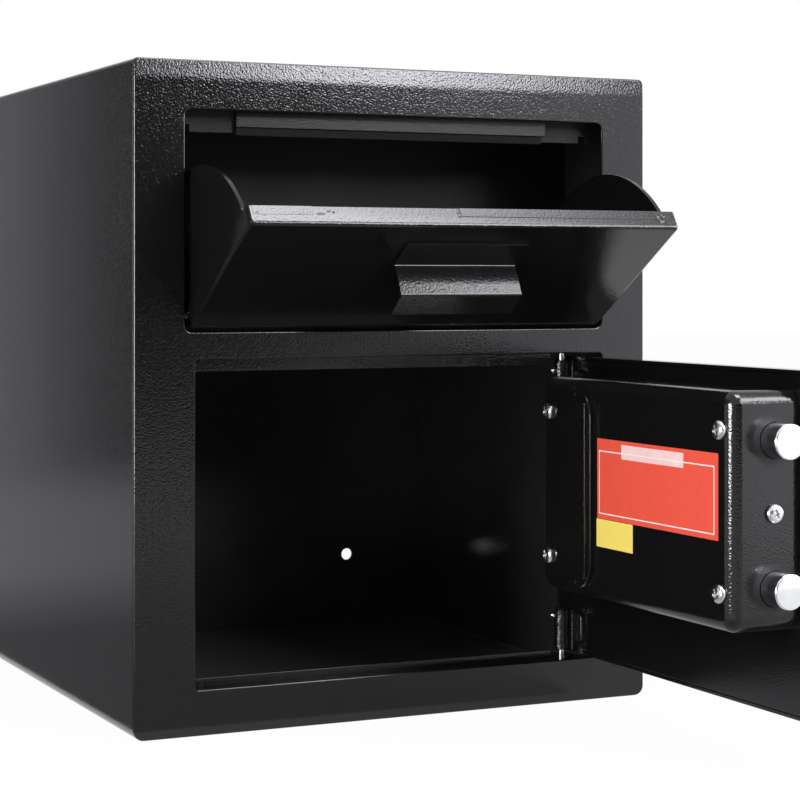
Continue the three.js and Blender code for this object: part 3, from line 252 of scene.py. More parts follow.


# Back plate: a flat steel plate, welded in the wrap, with the two holes that the safe is bolted
# through. It has the same powder coat, a little duller. Its inner face is painted paler, as painted light.
BACK_INNER_FACE = mm(188.6, 188.2)
plain_coat = black_coat("back_powder_coat", FINE_DEPTH, 0.1, 0.3)
inside = plain_coat.place.axis("Y").step(*BACK_INNER_FACE)
# Painted light: the inner face's colour is lifted paler than the outer coat.
painted_light_inside(plain_coat, inside, (0.006, 0.006, 0.0063), (0.03, 0.03, 0.031))
softened("back_plate", plain_coat, PLATE_EDGE)


# Front frame: 3 mm plate with the deposit opening and the door opening, whose edges are turned in.
# Where it was pressed, its upper edge leans back a little. It is welded into the wrap and painted
# together with it.
COAT_DEPTH = 0.048 * MM
powder = black_coat("black_powder_coat", COAT_DEPTH)
LEAN_HEIGHT = 14 * MM
LEAN_SLOPE = 0.06
LEAN_START_SHARE = 0.3
LEAN_CUTS = (0, 0.1, 0.2, LEAN_START_SHARE, 0.65)
FRONT_EDGE = 1.1 * MM


def leaning_top(work):
    """Leans the top of the plate's face back, at an even slope above a short bend."""
    front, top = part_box("front_frame")[0].y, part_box("front_frame")[1].z
    start = top - LEAN_HEIGHT
    for share in LEAN_CUTS:
        bmesh.ops.bisect_plane(work, geom=work.verts[:] + work.edges[:] + work.faces[:],
                               plane_co=(0, 0, start + share * LEAN_HEIGHT), plane_no=(0, 0, 1))
    for vertex in work.verts:
        if vertex.co.y < front + 0.1 * MM and vertex.co.z > start:
            share = (vertex.co.z - start) / LEAN_HEIGHT
            bent = min(share, LEAN_START_SHARE)
            leant = share - bent + bent * bent / (2 * LEAN_START_SHARE)
            vertex.co.y += LEAN_SLOPE * LEAN_HEIGHT * leant


softened("front_frame", powder, FRONT_EDGE, 4, leaning_top, clamp=False)


# Door stop and hinge lugs: strips and lugs of steel sheet, welded behind the turned-in edges of the
# door opening and painted with the cabinet.
SHEET_EDGE = 0.3 * MM
for node in ("door_stop", "hinge_lug_top", "hinge_lug_bottom"):
    softened(node, powder, SHEET_EDGE)


# Drawer stop, doubler and bumper: a folded steel angle under the ceiling with a thin coat, a doubler
# strip welded on it, and the rubber strip that the shut drawer meets.
thin_coat = grained("thin_black_coat", (0.006, 0.006, 0.0063), (0.011, 0.011, 0.0115), 0.45, 0.03 * MM,
                    Specular_IOR_Level=0.15)
softened("drawer_stop", thin_coat, SHEET_EDGE)


def added(piece, finish, body):
    """The piece gets its finish and moves with the body, but stands for no node."""
    piece.data.materials.append(finish.material)
    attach(piece, body)
    return piece


def bar(name, x, y, z, edge, finish, body, segments=3):
    """A strip of plate with rounded edges."""
    work = bmesh.new()
    bmesh.ops.create_cube(work, size=1)
    for vertex in work.verts:
        for axis, span in enumerate((x, y, z)):
            vertex.co[axis] = span[vertex.co[axis] > 0]
    return shaded(added(from_bmesh(name, work), finish, body), edge, segments)


doubler_coat = black_coat("doubler_powder_coat", 0.03 * MM, 0.22, 0.3)
bar("stop_doubler", mm(-118, 121), mm(-175.8, -172.1), mm(406.9, 424), PLATE_EDGE, doubler_coat, "cabinet")

rubber = grained("black_rubber", (0.004, 0.004, 0.004), (0.01, 0.01, 0.01), 0.7, 0.03 * MM,
                 Specular_IOR_Level=0.08)
softened("drawer_bumper", rubber, 0.6 * MM, 3)


# Floor mat: a soft black rubber sheet with a felted face. It is cut to the compartment's floor and lies
# there loose. Its colour is painted grey, paler than the rubber, as painted light in the dim compartment.
painted_light_mat = grained("mat_rubber", (0.05, 0.05, 0.05), (0.09, 0.09, 0.09), 0.7, 0.05 * MM,
                 Specular_IOR_Level=0.1)
softened("floor_mat", painted_light_mat, 0.8 * MM, 3)


# Baffle plate and pivot brackets: folded steel sheet with the thin coat, welded in behind the deposit
# opening. The baffle keeps hands out, and the brackets carry the drawer.
for node in ("baffle_plate", "pivot_bracket_left", "pivot_bracket_right"):
    softened(node, thin_coat, SHEET_EDGE)


# Drawer: a folded pan with a liner plate, two quadrant cheeks and a sloping floor, all steel sheet,
# spot welded and powder coated. It stands here tipped out about its two pins.
TIPPED = math.radians(58.5)
PIVOT = mm(0, -176, 279)
drawer_frame = Matrix.Translation(PIVOT) @ Matrix.Rotation(TIPPED, 4, "X")
RIM_TOP = 136.6 * MM
FACE_OUT = -14 * MM
PAN_BEND = 2.5 * MM
PAN_EDGE = 0.9 * MM


def sharp_rim(work):
    """Draws the bend along the pan's upper edge out to a crisp fold."""
    work.transform(drawer_frame.inverted())
    for vertex in work.verts:
        across = vertex.co.y - FACE_OUT - PAN_BEND
        up = vertex.co.z - RIM_TOP + PAN_BEND
        reach = math.hypot(across, up)
        if across < 0 < up and abs(reach - PAN_BEND) < 0.05 * MM:
            pull_out = PAN_BEND / max(-across, up)
            vertex.co.y = FACE_OUT + PAN_BEND + across * pull_out
            vertex.co.z = RIM_TOP - PAN_BEND + up * pull_out
    work.transform(drawer_frame)


softened("drawer_front", powder, PAN_EDGE, 3, sharp_rim, clamp=False)
for node in ("drawer_liner", "drawer_cheek_left", "drawer_cheek_right", "scoop_plate"):
    softened(node, powder, SHEET_EDGE)

# The rim's inner half is lapped by a second sheet, which spot welds hold.
LAP_Y = mm(-7, -0.4)
LAP_DEPTH = 0.6 * MM
RIM_LAPS = (("rim_lap_right", mm(-8, 141), 0.4 * MM), ("rim_lap_left", mm(-153, -112), 0.15 * MM))
for name, x, proud in RIM_LAPS:
    lap = bar(name, x, LAP_Y, (RIM_TOP - LAP_DEPTH, RIM_TOP + proud), min(SHEET_EDGE, proud), powder,
              "drawer")
    lap.data.transform(drawer_frame)

# Each bead of weld: its place along and across the rim, and its half width and half depth, in mm.
WELDS = ((-107, -6, 3.2, 0.9), (-101, -4, 1.5, 1.0), (-98, -4.8, 1.0, 0.8), (-9.5, -3.5, 0.9, 2.2),
         (-8.5, -6.2, 1.2, 1.4), (143.5, -6.5, 2.6, 3.4), (146, -4, 1.6, 1.6), (-150, -5.5, 0.5, 1.2))
WELD_HEIGHT = 0.3 * MM
beads = bmesh.new()
for weld in WELDS:
    x, y, width, depth = mm(*weld)
    place = Matrix.Translation((x, y, RIM_TOP)) @ Matrix.Diagonal((width, depth, WELD_HEIGHT, 1))
    bmesh.ops.create_icosphere(beads, subdivisions=3, radius=1, matrix=place)
welds = from_bmesh("rim_welds", beads)
welds.data.transform(drawer_frame)
shaded(added(welds, powder, "drawer"))


# Drawer pull: one strip of steel sheet, bent to a flange, a crowned shelf and a lip. The flange is spot
# welded to the drawer's face and painted with it.
PULL_X = mm(-40.5, 48.5)
PULL_SHEET = 1.8 * MM
FLANGE_FACE = -16.1 * MM
FLANGE_TOP, FLANGE_FOOT = mm(116.9, 96)
SHELF = 91.7 * MM
SHELF_BOW = ((3.4, 0.9), (7, 0.88), (10, 0.76), (13, 0.55), (16, 0.25), (18.6, -0.1))
SHELF_OUT = -39.3 * MM
INNER_BEND, OUTER_BEND = mm(1.1, 1.9)
INNER_BEND_RISE, OUTER_BEND_DROP = mm(2.0, 2.2)
LIP_END = 70.4 * MM
PULL_EDGE = 0.45 * MM


def folded(name, path, sheet, x, matrix):
    """A strip of sheet along a path in the YZ plane, as wide as x, with the sheet on the path's left."""
    left = []
    for index, point in enumerate(path):
        before = path[max(index - 1, 0)]
        after = path[min(index + 1, len(path) - 1)]
        run = (Vector(after) - Vector(before)).normalized()
        left.append((point[0] - run.y * sheet, point[1] + run.x * sheet))
    rim = list(path) + left[::-1]
    work = bmesh.new()
    ends = [[work.verts.new((side, *point)) for point in rim] for side in x]
    for step in range(len(rim)):
        after = (step + 1) % len(rim)
        work.faces.new((ends[0][step], ends[0][after], ends[1][after], ends[1][step]))
    for end in ends:
        for step in range(len(path) - 1):
            back = len(rim) - 1 - step
            work.faces.new((end[step], end[step + 1], end[back - 1], end[back]))
    piece = from_bmesh(name, work)
    piece.data.transform(matrix)
    return piece


def arc(centre, radius, first, last, steps):
    """Points of an arc in the YZ plane, by angles in degrees from +Y towards +Z."""
    points = []
    for step in range(steps + 1):
        angle = math.radians(first + (last - first) * step / steps)
        points.append((centre[0] + radius * math.cos(angle), centre[1] + radius * math.sin(angle)))
    return points


# The path runs down the outer face of the flange, out along the top of the shelf and down the lip.
path = [(FLANGE_FACE, FLANGE_TOP), (FLANGE_FACE, FLANGE_FOOT)]
path += arc((FLANGE_FACE - INNER_BEND, SHELF + INNER_BEND_RISE), INNER_BEND, 0, -90, 4)
path += [(FLANGE_FACE - distance * MM, SHELF + rise * MM) for distance, rise in SHELF_BOW]
path += arc((SHELF_OUT + OUTER_BEND, SHELF - OUTER_BEND_DROP), OUTER_BEND, 100, 174, 5)
path += [(SHELF_OUT - OUTER_BEND, LIP_END)]
pull = folded("drawer_pull_bent", path, PULL_SHEET, PULL_X, drawer_frame)
shaded(placed(pull, powder, "drawer_pull"), PULL_EDGE, 2, 40)


# Door: a folded pan of steel plate in the cabinet's powder coat. A thin inner plate, painted with a
# smooth enamel, closes it behind.
softened("door_pan", powder, 0.6 * MM)
enamel = grained("smooth_black_enamel", (0.003, 0.003, 0.0032), (0.006, 0.006, 0.0065), 0.14, 0.03 * MM,
                 Specular_IOR_Level=0.4)
softened("door_inner_plate", enamel, SHEET_EDGE)


# Hinge: a steel barrel with a leaf, welded behind the door and painted thickly with it, turns on a zinc
# plated pin. A set screw holds the pin, and a tab of the leaf reaches over the inner plate. The drawer
# turns on zinc plated pins as well.
zinc = Finish("bright_zinc", Metallic=1.0)
film = zinc.place.noise(60, 4, 0.6)
brush = zinc.place.noise(900, 2)
zinc.feed(
    Base_Color=film.blend((0.5, 0.51, 0.53), (0.72, 0.73, 0.74)),
    Roughness=film * 0.14 + brush * 0.1 + 0.1,
    Normal=brush.bump(0.3, 0.02 * MM),
)


def cut(piece, operation, *tools):
    """Joins the tools to the piece or takes them from it, and drops them."""
    for tool in tools:
        step = piece.modifiers.new("step", "BOOLEAN")
        step.operation = operation
        step.object = tool
    graph = bpy.context.evaluated_depsgraph_get()
    mesh = bpy.data.meshes.new_from_object(piece.evaluated_get(graph))
    piece.modifiers.clear()
    piece.data = mesh
    for tool in tools:
        bpy.data.objects.remove(tool)
    return piece


def pointing(origin, axis):
    """The matrix that stands a turned piece's own Z axis at the origin, along the axis."""
    return Matrix.Translation(origin) @ Vector(axis).to_track_quat("Z", "Y").to_matrix().to_4x4()


def turned(name, profile, matrix, sides=64):
    """A piece turned about its Z axis from (radius, height) points, closed where the radius is 0."""
    work = bmesh.new()
    turns = [math.tau * step / sides for step in range(sides)]
    rings = []
    for radius, height in profile:
        if radius == 0:
            rings.append([work.verts.new((0, 0, height))])
        else:
            rings.append([work.verts.new((radius * math.cos(turn), radius * math.sin(turn), height))
                          for turn in turns])
    for low, high in zip(rings, rings[1:]):
        for step in range(sides):
            after = step + 1
            corners = [low[step % len(low)], low[after % len(low)],
                       high[after % len(high)], high[step % len(high)]]
            work.faces.new(list(dict.fromkeys(corners)))
    if len(rings[0]) > 1 and profile[0] == profile[-1]:
        bmesh.ops.remove_doubles(work, verts=work.verts, dist=0.001 * MM)
    piece = from_bmesh(name, work)
    piece.data.transform(matrix)
    return piece


def screw(name, origin, axis, radius, height, shank):
    """A pan-head screw with a cross recess: its seat at the origin, its head along the axis."""
    brim = 0.2
    dome = [(radius, 0), (radius, height * brim)]
    for angle in map(math.radians, range(8, 88, 8)):
        dome.append((radius * math.cos(angle) ** 0.5, height * (brim + (1 - brim) * math.sin(angle))))
    matrix = pointing(origin, axis)
    stem = [(0, -shank), (radius / 3, -shank), (radius / 3, 0)]
    head = turned(name, stem + dome + [(0, height)], matrix, 48)
    length, width = radius * 1.15, radius * 0.28
    blades = []
    for spin in (20, 110):
        work = bmesh.new()
        bmesh.ops.create_cube(work, size=1)
        for vertex in work.verts:
            wide, level = (1.0, 1.1) if vertex.co.z > 0 else (0.5, 0.25)
            vertex.co = (vertex.co.x * length * wide, vertex.co.y * width * wide, height * level)
        blade = from_bmesh(name + "_blade", work)
        blade.data.transform(matrix @ Matrix.Rotation(math.radians(spin), 4, "Z"))
        blades.append(blade)
    return shaded(cut(head, "DIFFERENCE", *blades), 0.12 * MM, 2, 40)


def outline(y, z, radius, steps):
    """Points round a rectangle with rounded corners, in the YZ plane."""
    near_y, far_y = y[0] + radius, y[1] - radius
    low_z, high_z = z[0] + radius, z[1] - radius
    points = []
    for turn, centre in enumerate(((far_y, high_z), (near_y, high_z), (near_y, low_z), (far_y, low_z))):
        points += arc(centre, radius, 90 * turn, 90 * turn + 90, steps)
    return points


def pressed(name, y, z, back, face, corner, edge, steps=8):
    """A closed box with rounded corners, and a rounded edge round the face that looks to -X."""
    work = bmesh.new()
    levels = [(0, back), (0, face + edge)]
    for step in range(1, steps + 1):
        angle = math.radians(90 * step / steps)
        levels.append((edge * (1 - math.cos(angle)), face + edge * (1 - math.sin(angle))))
    rings = []
    for inset, x in levels:
        points = outline((y[0] + inset, y[1] - inset), (z[0] + inset, z[1] - inset), corner - inset, steps)
        rings.append([work.verts.new((x, *point)) for point in points])
    for low, high in zip(rings, rings[1:]):
        for step in range(len(low)):
            after = (step + 1) % len(low)
            work.faces.new((low[step], low[after], high[after], high[step]))
    work.faces.new(rings[0])
    work.faces.new(rings[-1])
    return from_bmesh(name, work)


HINGE = mm(138, -169)
BARREL_RADIUS, BARREL_BORE, BARREL_RIM = mm(5.25, 2.8, 0.5)
LEAF_X, LEAF_EDGE = mm(141.9, 0.6)
TAB_Y = -190.5 * MM
TAB_BACK, TAB_FACE, TAB_CORNER, TAB_EDGE = mm(144.9, 142.1, 6, 1.5)
SET_SCREW_X, SET_SCREW_Y = mm(-4.9, 2)
SET_SCREW_AXIS = (-1, 0.35, 0)
SET_SCREW_RADIUS, SET_SCREW_HEIGHT, SET_SCREW_SHANK = mm(2.3, 2.2, 1.5)
thick_coat = grained("thick_powder_coat", (0.0045, 0.0045, 0.0048), (0.008, 0.008, 0.0084), 0.06, 0.16 * MM,
                     Specular_IOR_Level=0.4)
for node, tab_z, screw_below_top in (("hinge_barrel_top", mm(224.5, 238.6), 7.5 * MM),
                                     ("hinge_barrel_bottom", mm(41, 63.3), 4.5 * MM)):
    low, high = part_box(node)
    end_radius = BARREL_RADIUS - BARREL_RIM
    ring = [(BARREL_BORE, low.z), (end_radius, low.z), (BARREL_RADIUS, low.z + BARREL_RIM),
            (BARREL_RADIUS, high.z - BARREL_RIM), (end_radius, high.z), (BARREL_BORE, high.z),
            (BARREL_BORE, low.z)]
    barrel = turned(node + "_turned", ring, Matrix.Translation((*HINGE, 0)), 48)
    shaded(placed(barrel, thick_coat, node), 0.2 * MM)
    bar(node + "_leaf", (LEAF_X, high.x), (low.y, high.y), (low.z, high.z), LEAF_EDGE, thick_coat, "door")
    plate = pressed(node + "_tab", (TAB_Y, low.y + 1 * MM), tab_z, TAB_BACK, TAB_FACE, TAB_CORNER, TAB_EDGE)
    shaded(added(plate, thick_coat, "door"))
    seat = (HINGE[0] + SET_SCREW_X, HINGE[1] + SET_SCREW_Y, high.z - screw_below_top)
    holder = screw(node + "_set_screw", seat, SET_SCREW_AXIS, SET_SCREW_RADIUS, SET_SCREW_HEIGHT,
                   SET_SCREW_SHANK)
    added(holder, zinc, "door")

PIN_RIM = 0.5 * MM
for node in ("hinge_pin_top", "hinge_pin_bottom"):
    low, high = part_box(node)
    radius = (high.x - low.x) / 2
    rod = [(0, low.z), (radius - PIN_RIM, low.z), (radius, low.z + PIN_RIM), (radius, high.z - PIN_RIM),
           (radius - PIN_RIM, high.z), (0, high.z)]
    pin = turned(node + "_turned", rod, Matrix.Translation((*HINGE, 0)), 32)
    shaded(placed(pin, zinc, node), 0.1 * MM)
for node in ("pivot_pin_left", "pivot_pin_right"):
    softened(node, zinc, 0.25 * MM)


# Lock cover: a drawn steel box over the lock, in the cabinet's powder coat, with holes for the bolts and
# a window for the cells. Four zinc plated pan-head screws hold its face, and one its end.
cover_low, cover_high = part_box("lock_cover")
COVER_WALL = 1.5 * MM
COVER_CORNER, COVER_EDGE = mm(9.5, 8.5)
BOLT_X = 128 * MM
BOLT_LEVELS = mm(114.5, 205.5)
HOLE_RADIUS = 11.4 * MM
HOLE_START, HOLE_END = mm(-1, 12)
WINDOW_DEPTH, WINDOW_PLAY = mm(6, 0.8)


def cover_box(name, wall, back, face, corner, edge):
    """The cover's outer form, or its inner form one wall further in."""
    y = (cover_low.y + wall, cover_high.y - wall)
    z = (cover_low.z + wall, cover_high.z - wall)
    return pressed(name, y, z, back, face, corner, edge)


cover = cover_box("lock_cover_pressed", 0, cover_high.x, cover_low.x, COVER_CORNER, COVER_EDGE)
tools = [cover_box("inside", COVER_WALL, cover_high.x + 1 * MM, cover_low.x + COVER_WALL,
                   COVER_CORNER - COVER_WALL, COVER_EDGE - COVER_WALL)]
plug = [(0, HOLE_START), (HOLE_RADIUS, HOLE_START), (HOLE_RADIUS, HOLE_END), (0, HOLE_END)]
for level in BOLT_LEVELS:
    tools.append(turned("bolt_hole", plug, pointing((BOLT_X, cover_low.y, level), (0, 1, 0))))
low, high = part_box("battery_holder")
place = Matrix.Translation((cover_low.x, (low.y + high.y) / 2, (low.z + high.z) / 2))
size = Matrix.Diagonal((WINDOW_DEPTH, high.y - low.y + WINDOW_PLAY, high.z - low.z + WINDOW_PLAY, 1))
window = bmesh.new()
bmesh.ops.create_cube(window, size=1, matrix=place @ size)
tools.append(from_bmesh("window", window))
cut(cover, "DIFFERENCE", *tools)

# Round the holes the bolts have scuffed the paint dull.
SCUFF_OUT, SCUFF_IN = mm(20, 12)
cover_coat = black_coat("cover_powder_coat", COAT_DEPTH)
scuffed = []
for level in BOLT_LEVELS:
    away = cover_coat.place.node("ShaderNodeVectorMath", {"operation": "DISTANCE"},
                                 {0: cover_coat.place, 1: (BOLT_X, cover_low.y, level)}, 1)
    scuffed.append(away.step(SCUFF_OUT, SCUFF_IN))
speckle = cover_coat.place.noise(1 / MM, 1)
cover_coat.feed(Roughness=(scuffed[0] + scuffed[1]) * 0.42 + speckle * 0.05 + COAT_GLOSS)
shaded(placed(cover, cover_coat, "lock_cover"), 0.25 * MM, 2, 50)

HEAD_RADIUS, HEAD_HEIGHT, SHANK = mm(6, 3.4, 9)
for node in ("screw_upper_left", "screw_upper_right", "screw_lower_left", "screw_lower_right", "screw_end"):
    low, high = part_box(node)
    axis = (0, -1, 0) if node == "screw_end" else (-1, 0, 0)
    seat = (low + high) / 2
    if node == "screw_end":
        seat.y = low.y + HEAD_HEIGHT
    else:
        seat.x = low.x + HEAD_HEIGHT
    placed(screw(node + "_head", seat, axis, HEAD_RADIUS, HEAD_HEIGHT, SHANK), zinc, node)


# Battery cover: a pressed pill of thin sheet with a raised middle, two pips and a notch for a
# fingernail, clipped into the lock cover's window. Behind it a black moulding holds four cells.
low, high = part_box("battery_cover")
PILL_MIDDLE = (low.y + high.y) / 2
PILL_STEP = 2.8 * MM
PILL_CORNER, PILL_EDGE = mm(20, 0.5)
RAISED_FOOT, RAISED_HEAD, RAISED_CORNER, RAISED_EDGE = mm(8, 9, 3.2, 0.4)
PIP = [mm(*point) for point in ((0, 0), (1.5, 0), (1.2, 0.6), (0, 0.8))]
PIP_LEVELS = (low.z + 4 * MM, high.z - 4.2 * MM)
# The notch is a keyhole of two slots: half width, and start and end below the raised middle's head.
NOTCH_SLOTS = (mm(2.6, 4, 7), mm(1.0, 6.5, 17))
NOTCH_DEPTH, NOTCH_CORNER, NOTCH_EDGE = mm(0.6, 0.9, 0.1)
pill = pressed("battery_cover_pressed", (low.y, high.y), (low.z, high.z), high.x, low.x + PILL_STEP,
               PILL_CORNER, PILL_EDGE, 10)
raised = pressed("raised", (low.y + PILL_STEP, high.y - PILL_STEP),
                 (low.z + RAISED_FOOT, high.z - RAISED_HEAD), high.x - 1 * MM, low.x, RAISED_CORNER,
                 RAISED_EDGE, 5)
pips = [turned("pip", PIP, pointing((low.x + PILL_STEP + 0.1 * MM, PILL_MIDDLE, level), (-1, 0, 0)), 20)
        for level in PIP_LEVELS]
cut(pill, "UNION", raised, *pips)
notches = [pressed("notch", (PILL_MIDDLE - half, PILL_MIDDLE + half),
                   (high.z - RAISED_HEAD - end, high.z - RAISED_HEAD - start), low.x - 1 * MM,
                   low.x + NOTCH_DEPTH, NOTCH_CORNER, NOTCH_EDGE, 3) for half, start, end in NOTCH_SLOTS]
cut(pill, "DIFFERENCE", *notches)
shaded(placed(pill, powder, "battery_cover"), 0.12 * MM, 2, 45)

plastic = grained("black_moulding", (0.008, 0.008, 0.009), (0.016, 0.016, 0.018), 0.4, 0.02 * MM, 0.5 * MM)
softened("battery_holder", plastic, SHEET_EDGE)


# Label films: a red and a yellow piece of vinyl film, stuck on the lock cover. The red one is printed
# with a white keyline and a pale panel, the yellow one is plain.
FILM_EDGE = 0.05 * MM
PRINT_SOFT = 0.25 * MM
WHITE_INK = (0.9, 0.88, 0.88)
red = Finish("red_film", Roughness=0.42)
mottle = red.place.noise(120, 3)
low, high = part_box("red_label")
across, up = red.place.axis("Y"), red.place.axis("Z")


def printed(left, right, bottom, top):
    """1 inside a printed rectangle, whose sides are given in mm from the film's left and bottom."""
    return (across.within(high.y - right * MM, high.y - left * MM, PRINT_SOFT) *
            up.within(low.z + bottom * MM, low.z + top * MM, PRINT_SOFT))


panel = printed(31, 106, 41.5, 51)
line = printed(2.2, 141, 3.2, 45.6) - printed(3.0, 140.2, 4.0, 44.8)
ink = mottle.blend((0.70, 0.072, 0.04), (0.80, 0.09, 0.052))
print_cover = line.math("MAXIMUM", line * 0.85, panel * (mottle * 0.2 + 0.52))
red.feed(Base_Color=print_cover.blend(ink, WHITE_INK), Normal=mottle.bump(0.2, FILM_EDGE))
softened("red_label", red, FILM_EDGE)

yellow = Finish("yellow_film", Roughness=0.38)
mottle = yellow.place.noise(120, 3)
yellow.feed(Base_Color=mottle.blend((0.84, 0.65, 0.13), (0.9, 0.71, 0.15)),
            Normal=mottle.bump(0.2, FILM_EDGE))
softened("yellow_label", yellow, FILM_EDGE)


# Bolts: two round steel bars, turned, polished and chromed, on one flat bar of phosphated steel. The
# solenoid that blocks the bar has a case of the same steel.
chrome = Finish("polished_chrome", Metallic=1.0)
haze = chrome.place.noise(90, 3)
chrome.feed(Base_Color=haze.blend((0.74, 0.75, 0.77), (0.84, 0.85, 0.87)), Roughness=haze * 0.08 + 0.05)
BOLT_FOOT, BOLT_RIM = mm(1, 1.2)
for node in ("bolt_lower", "bolt_upper"):
    low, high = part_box(node)
    radius, length = (high.x - low.x) / 2, high.y - low.y
    profile = [(0, 0), (radius - BOLT_FOOT, 0), (radius, BOLT_FOOT), (radius, length - BOLT_RIM)]
    for angle in map(math.radians, (22.5, 45, 67.5, 90)):
        profile.append((radius - BOLT_RIM + BOLT_RIM * math.cos(angle),
                        length - BOLT_RIM + BOLT_RIM * math.sin(angle)))
    profile.append((0, length))
    foot = (BOLT_X, high.y, (low.z + high.z) / 2)
    bolt = turned(node + "_turned", profile, pointing(foot, (0, -1, 0)), 96)
    shaded(placed(bolt, chrome, node))

dark_steel = Finish("phosphated_steel", Metallic=1.0)
haze = dark_steel.place.noise(200, 4)
dark_steel.feed(Base_Color=haze.blend((0.1, 0.1, 0.11), (0.2, 0.2, 0.21)), Roughness=haze * 0.2 + 0.4,
                Normal=haze.bump(0.3, 0.03 * MM))
softened("bolt_bar", dark_steel, SHEET_EDGE)
softened("solenoid_body", dark_steel, 0.4 * MM)


# Turning knob, spindle and plunger: the knob is a black moulding, pressed on a zinc plated steel
# spindle whose cam drives the bolt bar. The solenoid's plunger is zinc plated too.
PLATED_EDGE = 0.2 * MM
softened("turning_knob", plastic, 0.4 * MM, 3)
softened("knob_spindle", zinc, PLATED_EDGE)
softened("solenoid_plunger", zinc, PLATED_EDGE)


# Keypad: a black moulded housing on the door's outer face, with twelve grey keys whose signs are
# printed white. It holds a green circuit board, a clear green light and a zinc plated key lock.
softened("keypad_housing", plastic, 0.0)
grey = grained("grey_keys", (0.2, 0.205, 0.21), (0.27, 0.275, 0.285), 0.4, 0.015 * MM)
white_ink = Finish("white_ink", Roughness=0.5)
white_ink.feed(Base_Color=white_ink.place.noise(900, 2).blend((0.7, 0.7, 0.7), (0.82, 0.82, 0.82)))
SIGNS = "123456789<0#"
SIGN_SIZE = 9.5 * MM
SIGN_DEPTH = 0.1 * MM
SIGN_PROUD = 0.05 * MM
facing_out = Euler((math.radians(90), 0, math.radians(90))).to_matrix().to_4x4()
for number, letter in enumerate(SIGNS, 1):
    key = f"key_{number}"
    softened(key, grey, 0.5 * MM, 3)
    low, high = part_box(key)
    words = bpy.data.curves.new(key + "_sign", "FONT")
    words.body = letter
    words.size = SIGN_SIZE
    words.extrude = SIGN_DEPTH
    words.align_x = words.align_y = "CENTER"
    drawn = bpy.data.objects.new(key + "_sign", words)
    bpy.context.collection.objects.link(drawn)
    bpy.context.view_layer.update()
    mesh = bpy.data.meshes.new_from_object(drawn.evaluated_get(bpy.context.evaluated_depsgraph_get()))
    bpy.data.objects.remove(drawn)
    sign = bpy.data.objects.new(key + "_sign", mesh)
    bpy.context.collection.objects.link(sign)
    mesh.transform(Matrix.Translation((high.x + SIGN_PROUD, (low.y + high.y) / 2, (low.z + high.z) / 2))
                   @ facing_out)
    mesh.materials.clear()
    added(sign, white_ink, body_of[key])
board = grained("green_board", (0.01, 0.08, 0.03), (0.016, 0.11, 0.04), 0.4, 0.02 * MM)
softened("circuit_board", board, 0.1 * MM)
lens = Finish("green_lens", Roughness=0.15, Transmission_Weight=0.4)
lens.feed(Base_Color=lens.place.noise(400, 2).blend((0.04, 0.45, 0.08), (0.06, 0.56, 0.12)))
softened("status_light", lens, PLATED_EDGE)
softened("lock_barrel", zinc, PLATED_EDGE)
softened("lock_plug", zinc, PLATED_EDGE)


# Studio: a plain pale floor, a white surround and three soft lamps. The black paint mirrors what is
# round it, so glowing cards and dark boards, which only reflections show, shape its highlights. Flags
# keep the bright cards out of the cabinet's top and out of its front as seen from the right.
FRONT = -0.19
FLOOR_HALF = 9.0
FLOOR_LEVEL = -0.1 * MM
FLOOR_GLOW = 0.97
CARD_DISTANCE = 2.3
OVER_FLOOR = 0.004
PAPER = (0.8, 0.8, 0.8, 1.0)
WHITE = (1.0, 1.0, 1.0, 1.0)
CARD_WHITE = (0.985, 0.98, 1.04, 1.0)
SURROUND_LIGHT = 0.45


def card(name, corners):
    """One flat four-cornered sheet."""
    mesh = bpy.data.meshes.new(name)
    mesh.from_pydata(corners, [], [(0, 1, 2, 3)])
    sheet = bpy.data.objects.new(name, mesh)
    bpy.context.collection.objects.link(sheet)
    return sheet


def seen_directly(tree):
    """1 for camera, glossy and transmission rays, else 0."""
    seen = [Wire(tree).node("ShaderNodeLightPath", output=f"Is {kind} Ray")
            for kind in ("Camera", "Glossy", "Transmission")]
    return seen[0].math("MAXIMUM", seen[0].math("MAXIMUM", seen[0], seen[1]), seen[2])


floor = card("floor", [(x * FLOOR_HALF, y * FLOOR_HALF, FLOOR_LEVEL)
                       for x, y in ((-1, -1), (1, -1), (1, 1), (-1, 1))])
paper = bpy.data.materials.new("white_paper")
paper.use_nodes = True
tree = paper.node_tree
tree.nodes.clear()
lit = Wire(tree).node("ShaderNodeBsdfDiffuse", None, {"Color": PAPER})
glow = Wire(tree).node("ShaderNodeEmission", None, {"Color": WHITE, "Strength": 1.0})
surface = lit.node("ShaderNodeMixShader", None, {0: seen_directly(tree) * FLOOR_GLOW, 1: lit, 2: glow})
tree.links.new(surface.socket, tree.nodes.new("ShaderNodeOutputMaterial").inputs["Surface"])
floor.data.materials.append(paper)

world = bpy.data.worlds.new("surround")
bpy.context.scene.world = world
world.use_nodes = True
background = world.node_tree.nodes["Background"]
background.inputs["Color"].default_value = WHITE
strength = seen_directly(world.node_tree) * (1 - SURROUND_LIGHT) + SURROUND_LIGHT
world.node_tree.links.new(strength.socket, background.inputs["Strength"])


def softbox(name, centre, target, width, height, radiance):
    """A lamp that lights the object but shows neither to the camera nor in reflections."""
    lamp = bpy.data.lights.new(name, "AREA")
    lamp.shape = "RECTANGLE"
    lamp.size = width
    lamp.size_y = height
    lamp.energy = radiance * math.pi * width * height
    holder = bpy.data.objects.new(name, lamp)
    bpy.context.collection.objects.link(holder)
    holder.location = centre
    holder.rotation_euler = (Vector(target) - Vector(centre)).to_track_quat("-Z", "Y").to_euler()
    holder.visible_camera = holder.visible_glossy = False


def around(azimuth, distance, z):
    """A place before the front's face, at an azimuth that turns from straight ahead to the right."""
    angle = math.radians(azimuth)
    return (distance * math.sin(angle), FRONT - distance * math.cos(angle), z)


